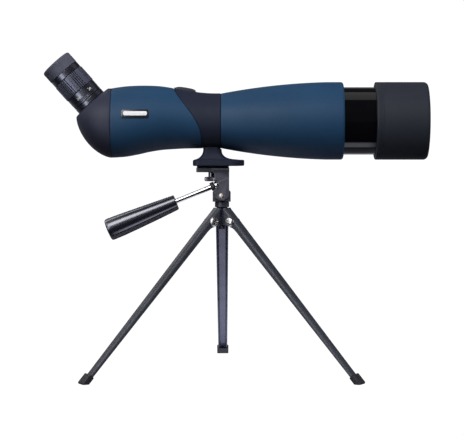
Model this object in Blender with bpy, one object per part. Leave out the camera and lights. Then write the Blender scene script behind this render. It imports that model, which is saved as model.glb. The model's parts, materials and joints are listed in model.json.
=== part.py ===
"""Spotting scope, 60 mm class, with an angled eyepiece, on a small table tripod.

Dimensions are millimetres in the scope's own frame: +X runs from the eyepiece
to the objective, +Z is up and the tripod's pan axis stands at X = 0, Y = 0.
Heights count from a datum just above the floor, which is at FLOOR_Z.

The empty called spotting_scope carries everything, stands the feet on the
floor and puts the origin under the middle of the whole object.  The other
empties carry the parts that turn or slide together.

Outlines for the lathe are (radius, station along the axis) pairs.
"""

import math

import bmesh
import bpy
from mathutils import Matrix, Vector

MM = 0.001

# ---------------------------------------------------------- shared dimensions
CENTRE_X, CENTRE_Y = 13.384, 36.937    # middle of the whole object, from the pan axis
FLOOR_Z = -3.6
AXIS_Z = 249.3             # optical axis
GAP = 0.35                 # clearance between neighbouring pieces
WALL = 2.3                 # body shells
SHARP_ANGLE = 40.0         # edges steeper than this stay sharp, degrees

# facets round a turned piece
N_BIG = 28                 # body and big tubes
N_MID = 20                 # eyepiece and objective parts
N_CELL = 16                # small lenses, their cells, tripod hub
N_SMALL = 14
N_PIVOT = 12               # leg pivot bores, handle lock nut
N_SCREW = 10
N_HEX = 6
LENS_STEPS = 3             # rings from the middle of a lens to its edge

# camera screw and the foot it enters
SCREW_X = -10.7
FOOT_Z0 = 204.6            # underside of the foot
INSERT_R = 4.6             # threaded insert in the foot

# kind: base colour, roughness, metallic
FINISHES = {
    "blue_paint": ((0.030, 0.092, 0.185), 0.34, 0.0),
    "black_armour": ((0.030, 0.032, 0.042), 0.62, 0.0),
    "gloss_black": ((0.008, 0.008, 0.010), 0.12, 0.0),
    "hood_black": ((0.034, 0.036, 0.045), 0.55, 0.0),
    "rubber": ((0.045, 0.045, 0.055), 0.70, 0.0),
    "anodised": ((0.030, 0.030, 0.036), 0.35, 0.9),
    "steel": ((0.62, 0.62, 0.64), 0.22, 1.0),
    "brass": ((0.70, 0.52, 0.22), 0.30, 1.0),
    "glass": ((0.55, 0.65, 0.72), 0.03, 0.0),
    "badge": ((0.75, 0.75, 0.78), 0.25, 1.0),
    "leg_paint": ((0.014, 0.014, 0.017), 0.30, 0.0),
    "grip": ((0.020, 0.020, 0.025), 0.25, 0.0),
    "felt": ((0.020, 0.020, 0.020), 0.95, 0.0),
    "cork": ((0.012, 0.012, 0.012), 0.90, 0.0),
}


# -------------------------------------------------------------------- objects
def finish(name, kind):
    """A Principled material of the given finish, one for each piece."""
    colour, roughness, metallic = FINISHES[kind]
    material = bpy.data.materials.new(name + "_finish")
    material.use_nodes = True
    bsdf = material.node_tree.nodes["Principled BSDF"]
    bsdf.inputs["Base Color"].default_value = (*colour, 1.0)
    bsdf.inputs["Roughness"].default_value = roughness
    bsdf.inputs["Metallic"].default_value = metallic
    return material


def clear_scene():
    for old in list(bpy.data.objects):
        bpy.data.objects.remove(old, do_unlink=True)


def link(name, data, parent):
    obj = bpy.data.objects.new(name, data)
    bpy.context.scene.collection.objects.link(obj)
    obj.parent = parent
    return obj


def empty(name, parent=None):
    obj = link(name, None, parent)
    obj.empty_display_size = 0.02
    return obj


def soften(mesh, sharp_angle=SHARP_ANGLE):
    mesh.shade_smooth()
    mesh.set_sharp_from_angle(angle=math.radians(sharp_angle))


def make_object(name, bm, kind=None, frame=None, parent=None, sharp_angle=SHARP_ANGLE):
    """Turn a bmesh in millimetres into an object; frame is in the parent's space."""
    bmesh.ops.remove_doubles(bm, verts=bm.verts, dist=1e-5)
    bmesh.ops.recalc_face_normals(bm, faces=bm.faces)
    bmesh.ops.scale(bm, vec=(MM, MM, MM), verts=bm.verts)
    mesh = bpy.data.meshes.new(name)
    bm.to_mesh(mesh)
    bm.free()
    obj = link(name, mesh, None)
    if frame is not None:
        placed = frame.copy()
        placed.translation = placed.translation * MM
        obj.matrix_world = placed
    # parented after placing, so that the placing is relative to the parent
    obj.parent = parent
    if kind is not None:
        mesh.materials.append(finish(name, kind))
    soften(mesh, sharp_angle)
    return obj


def tool(bm, frame=None):
    """A solid that only serves to shape another one, see cut."""
    return make_object("tool", bm, frame=frame)


def cut(target, tools, operation="DIFFERENCE"):
    """Boolean the tools into the target, in its parent's space, and drop them."""
    for helper in tools:
        helper.parent = target.parent
        modifier = target.modifiers.new("cut", "BOOLEAN")
        modifier.operation = operation
        modifier.solver = "EXACT"
        modifier.object = helper
    bpy.context.view_layer.update()
    graph = bpy.context.evaluated_depsgraph_get()
    mesh = bpy.data.meshes.new_from_object(target.evaluated_get(graph))
    old = target.data
    target.modifiers.clear()
    target.data = mesh
    mesh.name = target.name
    bpy.data.meshes.remove(old)
    for helper in tools:
        bpy.data.objects.remove(helper, do_unlink=True)
    # clear the slivers that booleans leave; lengths are metres here
    bm = bmesh.new()
    bm.from_mesh(mesh)
    bmesh.ops.remove_doubles(bm, verts=bm.verts, dist=2e-6)
    bmesh.ops.dissolve_degenerate(bm, edges=bm.edges, dist=2e-6)
    bm.to_mesh(mesh)
    bm.free()
    soften(mesh)


# --------------------------------------------------------------------- frames
def frame_along(point, direction):
    """Matrix whose local Z runs along the direction, origin at the point."""
    z = Vector(direction).normalized()
    y = Vector((0, 1, 0))
    if abs(z.dot(y)) > 0.99:
        y = Vector((0, 0, 1))
    x = y.cross(z).normalized()
    y = z.cross(x)
    frame = Matrix((x, y, z)).transposed().to_4x4()
    frame.translation = Vector(point)
    return frame


def along_x(z=AXIS_Z):
    return frame_along((0, 0, z), (1, 0, 0))


def across_y(x=0.0, z=0.0, side=1.0):
    return frame_along((x, 0, z), (0, side, 0))


def upright(x=0.0, z=0.0):
    return Matrix.Translation(Vector((x, 0, z)))


# --------------------------------------------------------------------- curves
def curve(xs, ys, x):
    """Smooth curve through a short table of stations."""
    if x <= xs[0]:
        return ys[0]
    if x >= xs[-1]:
        return ys[-1]
    i = 0
    while x > xs[i + 1]:
        i += 1

    def slope(k):
        before, after = max(k - 1, 0), min(k + 1, len(xs) - 1)
        return (ys[after] - ys[before]) / (xs[after] - xs[before])

    span = xs[i + 1] - xs[i]
    t = (x - xs[i]) / span
    slope0, slope1 = slope(i) * span, slope(i + 1) * span
    return ((2 * t ** 3 - 3 * t ** 2 + 1) * ys[i] + (t ** 3 - 2 * t ** 2 + t) * slope0
            + (3 * t ** 2 - 2 * t ** 3) * ys[i + 1] + (t ** 3 - t ** 2) * slope1)


def arc(centre, radius, start, step, count, radius2=None):
    """Points round a centre, angles in degrees; radius2 makes it an ellipse."""
    radius2 = radius if radius2 is None else radius2
    angles = [math.radians(start + step * i) for i in range(count)]
    return [(centre[0] + radius * math.cos(a), centre[1] + radius2 * math.sin(a))
            for a in angles]


def rounded_rect(x0, x1, half, corner, steps=4):
    """Rectangle with rounded corners, symmetric about the X axis."""
    corner = min(corner, half, (x1 - x0) / 2)
    points = []
    for cx, cy, start in ((x1 - corner, half - corner, 0), (x0 + corner, half - corner, 90),
                          (x0 + corner, -half + corner, 180), (x1 - corner, -half + corner, 270)):
        points += arc((cx, cy), corner, start, 90.0 / steps, steps + 1)
    return points


def inset_outline(points, distance):
    """Move every corner of a closed outline inwards."""
    n = len(points)
    area = sum(points[i][0] * points[(i + 1) % n][1]
               - points[(i + 1) % n][0] * points[i][1] for i in range(n))
    sign = 1.0 if area > 0 else -1.0
    moved = []
    for i in range(n):
        before, corner, after = (Vector(points[i - 1]), Vector(points[i]),
                                 Vector(points[(i + 1) % n]))
        edge0, edge1 = (corner - before).normalized(), (after - corner).normalized()
        normal0 = Vector((-edge0.y, edge0.x)) * sign
        normal1 = Vector((-edge1.y, edge1.x)) * sign
        mitre = normal0 + normal1
        # the floor keeps very sharp corners from running away
        mitre = mitre / max(mitre.length_squared / 2.0, 0.35)
        moved.append(tuple(corner + mitre * distance))
    return moved


def tube(outer, inner, start, end, bevel):
    """Lathe outline of a plain ring with small outer bevels."""
    return [(outer - bevel, start), (outer, start + bevel), (outer, end - bevel),
            (outer - bevel, end), (inner, end), (inner, start)]


def disc(radius, start, end, bevel=0.0):
    """Lathe outline of a solid round bar."""
    return [(0, start), (radius - bevel, start), (radius, start + bevel),
            (radius, end - bevel), (radius - bevel, end), (0, end)]


def lens_outline(radius, start, end, bulge0, bulge1):
    """Lens with its rim from start to end and faces bowed out by the bulges."""
    fractions = [i / LENS_STEPS for i in range(LENS_STEPS + 1)]
    return ([(radius * q, start - bulge0 * (1 - q * q)) for q in fractions]
            + [(radius * q, end + bulge1 * (1 - q * q)) for q in fractions[::-1]])


# --------------------------------------------------------------------- solids
def loft(rings, loop=False, caps=True):
    """Bmesh skin over rings of equal length; a ring of one point is a pole."""
    bm = bmesh.new()
    rows = [[bm.verts.new(Vector(p)) for p in ring] for ring in rings]
    pairs = list(zip(rows, rows[1:]))
    if loop:
        pairs.append((rows[-1], rows[0]))
    for a, b in pairs:
        n = max(len(a), len(b))
        for i in range(n):
            j = (i + 1) % n
            if len(a) == 1:
                bm.faces.new((a[0], b[j], b[i]))
            elif len(b) == 1:
                bm.faces.new((a[i], a[j], b[0]))
            else:
                bm.faces.new((a[i], a[j], b[j], b[i]))
    if caps and not loop:
        if len(rows[0]) > 1:
            bm.faces.new(rows[0][::-1])
        if len(rows[-1]) > 1:
            bm.faces.new(rows[-1])
    return bm


def strip_capped_loft(rings, shift):
    """Skin with each end closed by strips that join corner i to corner shift - i."""
    bm = loft(rings, caps=False)
    bm.verts.ensure_lookup_table()
    n = len(rings[0])
    for base in (0, n * (len(rings) - 1)):
        for i in range(n // 2 + shift):
            # the first and last strip may shrink to a triangle
            corners = dict.fromkeys((i, (shift - i) % n, (shift - i - 1) % n, i + 1))
            bm.faces.new([bm.verts[base + k] for k in corners])
    return bm


def level_loft(sections):
    """Skin over (z, plan outline) sections."""
    return loft([[(x, y, z) for x, y in plan] for z, plan in sections])


def prism_solid(points, y0, y1, bevel=0.0):
    """Outline in X-Z extruded along Y; the rim can be chamfered."""
    sections = [(y0, points), (y1, points)]
    if bevel:
        small = inset_outline(points, bevel)
        sections = [(y0, small), (y0 + bevel, points), (y1 - bevel, points), (y1, small)]
    return loft([[(x, y, z) for x, z in outline] for y, outline in sections])


def box(x0, x1, half_y, z0, z1):
    plan = [(x0, -half_y), (x1, -half_y), (x1, half_y), (x0, half_y)]
    return level_loft([(z0, plan), (z1, plan)])


def slice_flat(bm, point, outward):
    """Cut a closed skin flat, drop what lies on the outward side, close the cut."""
    result = bmesh.ops.bisect_plane(bm, geom=bm.verts[:] + bm.edges[:] + bm.faces[:],
                                    plane_co=point, plane_no=outward, clear_outer=True)
    rim = [e for e in result["geom_cut"] if isinstance(e, bmesh.types.BMEdge)]
    bmesh.ops.contextual_create(bm, geom=rim)
    return bm


def lathe(outline, segments):
    """Turn an outline about local Z; it closes on itself unless it ends on the axis."""
    rings = []
    for radius, station in outline:
        if radius <= 1e-6:
            rings.append([(0.0, 0.0, station)])
        else:
            angles = [2 * math.pi * k / segments for k in range(segments)]
            rings.append([(radius * math.cos(a), radius * math.sin(a), station)
                          for a in angles])
    on_axis = any(len(ring) == 1 for ring in rings)
    return loft(rings, loop=not on_axis, caps=False)


def turned(name, outline, kind, frame, parent, segments=N_MID):
    return make_object(name, lathe(outline, segments), kind, frame, parent)


def turned_tool(outline, frame, segments=N_SCREW):
    return tool(lathe(outline, segments), frame)


# --------------------------------------------------------------- body sections
# station along X, top, bottom, half width
BODY_X = (-110.0, -96.0, -84.0, -72.0, -60.0, -48.0, -36.0, -24.0, -12.0, 0.0)
BODY_TOP = (281.8, 283.7, 284.4, 284.4, 283.7, 281.8, 279.5, 277.9, 276.9, 276.75)
BODY_BOTTOM = (212.5, 213.5, 215.6, 218.3, 220.2, 221.1, 221.7, 221.85, 221.85, 221.85)
BODY_HALF = (33.5, 33.6, 33.2, 32.2, 31.0, 29.8, 28.6, 27.8, 27.45, 27.45)
REAR_X0 = -109.5           # seam between prism housing and rear shell
SADDLE_X1 = -1.35          # front end of the saddle

# slanted seam between rear shell and saddle: height, X
SEAM_Z = (221.0, 229.3, 237.3, 244.3, 251.8, 259.3, 267.3, 275.3, 282.5)
SEAM_X = (-19.7, -20.0, -21.0, -23.0, -27.0, -32.0, -38.0, -44.0, -48.4)
SEAM_OFFSET = GAP * 0.6    # each side of the seam line


def body_section(x):
    """Centre height, half height and half width of the body at X."""
    top = curve(BODY_X, BODY_TOP, x)
    bottom = curve(BODY_X, BODY_BOTTOM, x)
    return (top + bottom) / 2, (top - bottom) / 2, curve(BODY_X, BODY_HALF, x)


def body_point(x, k, inset=0.0):
    """Point on facet line k; line 0 runs along the top."""
    centre, half_height, half_width = body_section(x)
    a = 2 * math.pi * k / N_BIG
    return Vector((x, (half_width - inset) * math.sin(a),
                   centre + (half_height - inset) * math.cos(a)))


def seam_stations(offset):
    """X at which each facet line of the body meets the slanted seam."""
    stations = []
    for k in range(N_BIG):
        x = -30.0
        for _ in range(30):
            x = 0.5 * x + 0.5 * (curve(SEAM_Z, SEAM_X, body_point(x, k).z) + offset)
        stations.append(x)
    return stations


def span_ring(t, flat_x, ends, inset=0.0):
    """Ring a fraction t of the way from a flat end to the seam."""
    return [body_point(flat_x + t * (ends[k] - flat_x), k, inset) for k in range(N_BIG)]


def rear_body_shell(parent):
    ends = seam_stations(-SEAM_OFFSET)
    outer = [span_ring(t, REAR_X0, ends) for t in (0.0, 0.14, 0.32, 0.52, 0.74, 1.0)]
    inner = [span_ring(t, REAR_X0, ends, WALL) for t in (1.0, 0.66, 0.33, 0.0)]
    make_object("rear_body_shell", loft(outer + inner, loop=True), "blue_paint",
                parent=parent)


def name_badge(parent):
    """Thin blank plate that follows the rear shell's -Y flank."""
    x0, x1, z0, z1 = -98.7, -71.7, 252.0, 260.7
    end_trim = 1.2         # narrower at both ends, top and bottom
    back, face = 0.25, 0.85            # heights above the shell
    steps = 4
    rings = []
    for x in (x0, x0 + 1.0, -91.9, -85.2, -78.5, x1 - 1.0, x1):
        trim = end_trim if x in (x0, x1) else 0.0
        centre, half_height, half_width = body_section(x)
        outer, inner = [], []
        for j in range(steps + 1):
            z = z0 + trim + (z1 - z0 - 2 * trim) * j / steps
            y = half_width * math.sqrt(1 - ((z - centre) / half_height) ** 2)
            outer.append((x, -(y + face), z))
            inner.append((x, -(y + back), z))
        rings.append(outer + inner[::-1])
    make_object("name_badge", loft(rings), "badge", parent=parent)


# --------------------------------------------------- focusing roller's outline
FOCUS_Z = 271.8            # axis of the focusing drive
FOCUS_TOP = (              # top line of the roller: X, height
    (-46.2, 282.4), (-45.4, 283.1), (-41.5, 283.3), (-36.0, 282.6),
    (-30.0, 281.4), (-27.2, 280.4), (-26.2, 279.6))


def focus_outline(end_radius, grow=0.0):
    """Barrel-shaped roller; its flat ends run in to end_radius."""
    points = [[z - FOCUS_Z + grow, x] for x, z in FOCUS_TOP]
    points[0][1] -= 0.8 * grow
    points[-1][1] += 0.8 * grow
    return [(end_radius, points[0][1])] + points + [(end_radius, points[-1][1])]


# --------------------------------------------------------------- neck saddle
FOOT_X0, FOOT_X1, FOOT_HALF = -29.0, 22.3, 14.0
FOOT_REAR_CORNER = 6.0

# low swelling on top of the saddle, beside the roller
SWELL_X = (-49.0, -46.0, -40.0, -33.0, -27.5, -24.6)
SWELL_RISE = (0.5, 1.3, 1.6, 1.5, 1.0, 0.0)
SWELL_HALF = 16.0

PEDESTAL = (               # Z, rear X, front X, half width, corner radius
    (207.0, -28.0, 17.0, 12.8, 6.0), (210.7, -27.0, 16.0, 12.4, 6.0),
    (211.7, -23.8, 7.0, 11.2, 5.0), (213.6, -21.0, 2.4, 10.3, 4.5),
    (216.4, -19.2, 0.2, 9.8, 4.0), (218.6, -18.7, -0.25, 9.6, 4.0),
    (221.3, -18.7, -0.45, 9.6, 4.0), (221.4, -18.7, SADDLE_X1, 9.6, 4.0),
    (232.0, -18.7, SADDLE_X1, 9.6, 4.0))


def raised(point):
    """Lift a point of the saddle's upper half by the swelling."""
    if point.z > AXIS_Z:
        across = max(0.0, 1.0 - (point.y / SWELL_HALF) ** 2)
        point.z += curve(SWELL_X, SWELL_RISE, point.x) * across
    return point


def foot_plan(grow):
    """Plan outline of the foot plate: blunt rear end, round nose."""
    half = FOOT_HALF + grow
    x0, x1 = FOOT_X0 - grow, FOOT_X1 + grow
    corner = FOOT_REAR_CORNER
    return (arc((x1 - half, 0.0), half, -90, 30, 7)
            + arc((x0 + corner, half - corner), corner, 90, 30, 4)
            + arc((x0 + corner, -half + corner), corner, 180, 30, 4))


def neck_saddle(parent):
    """Solid neck with foot and pedestal, then bored and opened for the roller."""
    starts = seam_stations(SEAM_OFFSET)
    rings = [[raised(p) for p in span_ring(1 - t, SADDLE_X1, starts)]
             for t in (0.0, 0.1, 0.24, 0.38, 0.47, 0.53, 0.75, 1.0)]
    saddle = make_object("neck_saddle", strip_capped_loft(rings, 0), "black_armour",
                         parent=parent)
    plate = tool(level_loft([(z, foot_plan(grow)) for z, grow in (
        (FOOT_Z0, -1.0), (FOOT_Z0 + 1.0, 0.0), (209.7, 0.0), (210.5, -0.8))]))
    pedestal = tool(level_loft([(z, rounded_rect(x0, x1, half, corner))
                                for z, x0, x1, half, corner in PEDESTAL]))
    cut(saddle, [plate, pedestal], "UNION")

    bore = tool(loft([[body_point(x, k, WALL) for k in range(N_BIG)]
                      for x in (-62.0, -48.0, -36.0, -24.0, -12.0, 3.0)]))
    roller_slot = turned_tool(focus_outline(0, grow=0.55), along_x(FOCUS_Z), N_MID)
    insert_hole = turned_tool(disc(INSERT_R + GAP, -5, 8.4), upright(SCREW_X, FOOT_Z0),
                              N_SMALL)
    cut(saddle, [bore, roller_slot, insert_hole])


def foot_insert(parent):
    bore_r, bottom, top = 3.35, 0.4, 7.9
    turned("foot_thread_insert",
           [(INSERT_R, bottom), (INSERT_R, top), (bore_r, top), (bore_r, bottom)],
           "brass", upright(SCREW_X, FOOT_Z0), parent, N_SMALL)


# ------------------------------------------------------------- prism housing
DOME_X = -109.85           # open front rim; the dome bulges towards -X
DOME_LEN = 35.2
DOME_Z = 252.3             # height of the tip
DOME_DOWN, DOME_UP, DOME_HALF = 39.8, 29.4, 33.5
DOME_STATIONS = (0.0, 0.18, 0.36, 0.53, 0.69, 0.82, 0.92, 0.98)
HOLLOW_SCALE = 0.925       # inside against outside, about a point in the rim
HOLLOW_PIVOT_Z = 249.4

# eyepiece axis: starts at its upper end and slopes down and forwards
EYE_X, EYE_Z, EYE_ANGLE = -155.3, 295.3, 48.0
PORT_STATION = 38.3        # flat for the eyepiece on the housing


def eye_direction():
    a = math.radians(EYE_ANGLE)
    return Vector((math.cos(a), 0, -math.sin(a)))


def eye_frame():
    return frame_along((EYE_X, 0, EYE_Z), eye_direction())


def dome_ring(u):
    """Ring a fraction u of the way from the rim to the tip."""
    def fade(power):
        return (1 - u ** power) ** (1 / power)

    centre = (1 - u) * ((BODY_TOP[0] + BODY_BOTTOM[0]) / 2) + u * DOME_Z
    up = DOME_Z + DOME_UP * fade(1.74) - centre
    down = centre - (DOME_Z - DOME_DOWN * fade(1.65))
    half = DOME_HALF * fade(2.15)
    ring = []
    for k in range(N_BIG):
        a = 2 * math.pi * k / N_BIG
        c = math.cos(a)
        ring.append(Vector((DOME_X - DOME_LEN * u, half * math.sin(a),
                            centre + (up if c > 0 else down) * c)))
    return ring


def dome_rings(scale):
    pivot = Vector((DOME_X, 0, HOLLOW_PIVOT_Z))
    rings = [dome_ring(u) for u in DOME_STATIONS]
    rings.append([Vector((DOME_X - DOME_LEN, 0, DOME_Z))])
    return [[(p - pivot) * scale + pivot for p in ring] for ring in rings]


def slice_by_port(bm, station):
    """Cut a skin flat, square to the eyepiece axis."""
    axis = eye_direction()
    return slice_flat(bm, Vector((EYE_X, 0, EYE_Z)) + axis * station, -axis)


def prism_housing(parent):
    outer = slice_by_port(loft(dome_rings(1.0)), PORT_STATION)
    housing = make_object("prism_housing", outer, "black_armour", parent=parent)
    rings = dome_rings(HOLLOW_SCALE)
    # carry the hollow out through the open rim
    mouth = [p + Vector((6.0, 0, 0)) for p in rings[0]]
    hollow = tool(slice_by_port(loft([mouth] + rings), PORT_STATION + 2.6))
    port = turned_tool(disc(12.7, 30.0, 52.0), eye_frame(), N_MID)
    cut(housing, [hollow, port])


# ------------------------------------------------------ prism and its mounting
PRISM_SIDE = (             # X, Z; the roof joins the last point to the first
    (-101.2, 237.4), (-101.2, 266.0), (-106.6, 272.2), (-113.2, 274.4),
    (-135.4, 254.4), (-133.4, 250.6))
PRISM_HALF = 11.8
RIDGE_DROP = 4.732         # roof ridge below the side outline
RIDGE_REACH = 0.533        # its rear end lies further towards -X

HOLDER_ARM = (             # X, Z
    (-99.0, 238.5), (-99.0, 262.0), (-110.0, 266.5), (-123.0, 256.5), (-123.0, 248.0))

CLIP_SECTION = (           # Y, height from the strap's reference line
    (-14.8, -13.5), (-14.8, -1.2), (-13.6, 0.1), (13.6, 0.1), (14.8, -1.2), (14.8, -13.5),
    (14.15, -13.5), (14.15, -1.0), (13.4, -0.45), (-13.4, -0.45), (-14.15, -1.0),
    (-14.15, -13.5))
CLIP_EDGES = ((-108.0, 273.95), (-112.2, 275.55))      # X, Z of the reference line


def roof_prism(parent):
    (x0, z0), *middle, (x1, z1) = PRISM_SIDE
    ridge = [(x0, z0 - RIDGE_DROP), *middle, (x1 - RIDGE_REACH, z1 - RIDGE_DROP)]
    sections = ((-PRISM_HALF, PRISM_SIDE), (0.0, ridge), (PRISM_HALF, PRISM_SIDE))
    rings = [[(x, y, z) for x, z in outline] for y, outline in sections]
    make_object("roof_prism", loft(rings), "glass", parent=parent, sharp_angle=20)


def prism_holder(parent):
    """Ring plate with an arm along each side of the prism."""
    inside, outside = 12.2, 13.8
    holder = turned("prism_holder", tube(30.2, 11.5, -99.9, -97.6, 0.3), "anodised",
                    along_x(248.4), parent)
    arms = [tool(prism_solid(HOLDER_ARM, y0, y1))
            for y0, y1 in ((-outside, -inside), (inside, outside))]
    cut(holder, arms, "UNION")


def prism_clip(parent):
    """Spring strap over the prism."""
    rings = [[(x, y, z + rise) for y, rise in CLIP_SECTION] for x, z in CLIP_EDGES]
    make_object("prism_clip", loft(rings), "steel", parent=parent, sharp_angle=30)


# -------------------------------------------------------------- objective end
HOOD_X0, HOOD_X1, HOOD_R = 152.3, 204.3, 38.7
HOOD_BORE_R = 36.5
BARREL_X0, BARREL_X1, BARREL_R = 98.0, 170.0, 33.65
BARREL_FIT_R = BARREL_R + GAP          # bores that fit over the barrel
OBJECTIVE_R = 30.2
FRONT_X1, FRONT_R = 120.6, 38.65
NECK_R = 27.45             # front shell at X = 0
TAPER, TAPER_EASE = 0.1906, 0.000797   # its slope there, and the quadratic easing


def front_body_shell(parent):
    def radius(x):
        return NECK_R + TAPER * x - TAPER_EASE * x * x

    outline = [(radius(x), x) for x in (-1.0, 14.0, 30.0, 48.0, 68.0, 88.0)]
    outline += [(FRONT_R, 106.0), (FRONT_R, 119.2), (FRONT_R - 0.5, 120.2),
                (FRONT_R - 1.6, FRONT_X1), (BARREL_FIT_R, FRONT_X1),
                (BARREL_FIT_R, 97.0), (35.2, 94.0)]
    outline += [(radius(x) - WALL, x) for x in (80.0, 55.0, 28.0, -1.0)]
    turned("front_body_shell", outline, "blue_paint", along_x(), parent, N_BIG)


def objective_barrel(parent):
    """Barrel with an outside groove, and the O-ring in it."""
    r = BARREL_R
    turned("objective_barrel",
           [(r - 0.4, BARREL_X0), (r, 98.4), (r, 108.0), (r - 0.9, 108.2), (r - 0.9, 110.6),
            (r, 110.8), (r, 169.2), (r - 0.8, BARREL_X1), (30.7, BARREL_X1), (30.7, 151.6),
            (28.6, 151.4), (28.6, 148.6), (31.4, 146.5), (31.4, BARREL_X0)],
           "gloss_black", along_x(), parent, N_BIG)
    turned("barrel_o_ring",
           [(r - 0.55, 108.6), (r + 0.05, 108.9), (r + 0.05, 109.9), (r - 0.55, 110.2)],
           "rubber", along_x(), parent, N_BIG)


def objective_lenses(parent):
    turned("objective_flint_lens", lens_outline(OBJECTIVE_R, 152.2, 157.6, -1.0, -2.6),
           "glass", along_x(), parent)
    turned("objective_crown_lens", lens_outline(OBJECTIVE_R, 158.2, 165.2, 2.5, 2.6),
           "glass", along_x(), parent)
    turned("objective_retaining_ring",
           [(OBJECTIVE_R, 166.0), (OBJECTIVE_R, 168.8), (28.9, 168.8), (28.3, 167.2),
            (28.3, 166.0)],
           "anodised", along_x(), parent)


def light_baffle(parent):
    turned("light_baffle",
           [(33.9, 70.0), (33.9, 71.6), (24.5, 71.6), (24.0, 70.8), (24.5, 70.0)],
           "felt", along_x(), parent)


def lens_hood(parent):
    """Sliding hood and the felt ring inside its rear end."""
    r = HOOD_R
    turned("lens_hood",
           [(BARREL_FIT_R, HOOD_X0), (r - 1.2, HOOD_X0), (r - 0.3, HOOD_X0 + 0.4),
            (r, HOOD_X0 + 1.3), (r, HOOD_X1 - 1.6), (r - 0.4, HOOD_X1 - 0.5),
            (r - 1.3, HOOD_X1), (36.8, HOOD_X1 - 0.3), (HOOD_BORE_R, HOOD_X1 - 1.2),
            (HOOD_BORE_R, 156.2), (BARREL_FIT_R, 155.8)],
           "hood_black", along_x(), parent, N_BIG)
    turned("hood_slide_ring", tube(HOOD_BORE_R - GAP, BARREL_FIT_R, 156.6, 162.0, 0.2),
           "felt", along_x(), parent, N_BIG)


# ------------------------------------------------------------------- eyepiece
EYE_R = 16.4
SLEEVE_R = 12.25           # eyepiece barrel under its rings
RING_BORE_R = 12.65        # rings that go over it
CELL_R, CELL_BORE_R = 10.95, 9.6

EYECUP = (
    (13.1, -15.9), (15.6, -15.8), (16.5, -14.9), (16.6, -13.4), (16.6, -3.2),
    (14.35, -3.2), (14.35, -9.9), (12.4, -10.3), (12.4, -13.4))

# name, start, end, lens rim start and end, bulges of its two faces
ZOOM_CELLS = (("upper", 5.0, 9.5, 5.8, 8.6, 0.7, 0.6),
              ("lower", 24.0, 28.6, 24.8, 27.6, 0.6, 0.7))


def eye_end(parent):
    """Eyecup, its base ring, and the eye lens with its retainer."""
    frame = eye_frame()
    turned("eyecup", EYECUP, "rubber", frame, parent)
    turned("eyecup_base_ring",
           [(14.0, -2.9), (EYE_R, -2.9), (EYE_R, 2.9), (RING_BORE_R, 2.9),
            (RING_BORE_R, 0.6), (9.2, 0.6), (9.2, -0.8), (10.8, -0.8), (10.8, -9.5),
            (14.0, -9.5)],
           "gloss_black", frame, parent)
    turned("eye_lens", lens_outline(10.4, -5.4, -1.2, 1.1, 0.0), "glass", frame, parent,
           N_CELL)
    turned("eye_lens_retainer", [(10.45, -8.8), (10.45, -5.9), (9.0, -5.9), (8.6, -8.8)],
           "anodised", frame, parent, N_CELL)


def eyepiece_barrel(parent):
    """Barrel with two fine grooves round its thick band, and the collar below."""
    r, groove_r, bore_r = EYE_R, EYE_R - 0.35, 11.3
    turned("eyepiece_barrel",
           [(SLEEVE_R, 1.0), (SLEEVE_R, 21.7), (r, 21.7), (r, 28.9), (groove_r, 29.3),
            (r, 29.7), (r, 30.5), (groove_r, 30.9), (r, 31.3), (r, 32.3), (SLEEVE_R, 32.3),
            (SLEEVE_R, 42.8), (bore_r, 42.8), (bore_r, 1.0)],
           "gloss_black", eye_frame(), parent)
    turned("eyepiece_collar", tube(r, RING_BORE_R, 32.65, 37.95, 0.35), "gloss_black",
           eye_frame(), parent)


def zoom_ring(parent):
    edge_r, grip_r, bore_r = EYE_R + 0.05, EYE_R + 0.45, 14.3
    turned("zoom_ring",
           [(edge_r, 3.25), (grip_r, 3.8), (grip_r, 20.8), (edge_r, 21.35),
            (bore_r, 21.35), (bore_r, 3.25)],
           "rubber", eye_frame(), parent)
    turned("zoom_cam_sleeve", tube(13.9, RING_BORE_R, 4.0, 20.6, 0.15), "anodised",
           eye_frame(), parent)


def zoom_cells(parents):
    for parent, (name, start, end, *lens) in zip(parents, ZOOM_CELLS):
        turned("zoom_cell_" + name, tube(CELL_R, CELL_BORE_R, start, end, 0.2),
               "anodised", eye_frame(), parent, N_CELL)
        turned("zoom_lens_" + name, lens_outline(CELL_BORE_R - GAP, *lens), "glass",
               eye_frame(), parent, N_CELL)


# ------------------------------------------------------------- focusing drive
GUIDE_Z = 230.2            # guide rod below the optical axis
CARRIAGE_LUG = (16.4, 22.6)            # stations of the carriage's two bosses


def focus_drive(parent):
    """Roller and the screw through it."""
    turned("focus_knob", focus_outline(2.0), "rubber", along_x(FOCUS_Z), parent)
    turned("focus_screw", [(0, -52.0), (1.6, -52.0), (1.6, 38.0), (1.2, 38.6), (0, 38.6)],
           "steel", along_x(FOCUS_Z), parent, N_SCREW)


def focus_carriage(parent):
    """Lens ring with a nut boss above and a guide boss below."""
    ring = turned("focus_carriage", tube(16.4, 13.6, 16.0, 23.0, 0.3), "anodised",
                  along_x(), parent)
    nut = turned_tool(disc(3.6, *CARRIAGE_LUG, 0.2), along_x(270.6))
    post = tool(box(16.8, 22.2, 2.4, AXIS_Z + 14.8, 269.0))
    guide = turned_tool(disc(3.2, *CARRIAGE_LUG, 0.2), along_x(231.0))
    cut(ring, [nut, post, guide], "UNION")
    screw_bore = turned_tool(disc(2.0, 10.0, 30.0), along_x(FOCUS_Z))
    guide_bore = turned_tool(disc(1.8, 10.0, 30.0), along_x(GUIDE_Z))
    cut(ring, [screw_bore, guide_bore])
    turned("focus_lens", lens_outline(13.2, 17.6, 21.4, -0.8, -0.8), "glass", along_x(),
           parent, N_CELL)


def focus_guide_rod(parent):
    turned("focus_guide_rod", disc(1.4, -14.0, 44.0, 0.2), "steel", along_x(GUIDE_Z),
           parent, N_SCREW)


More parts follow.
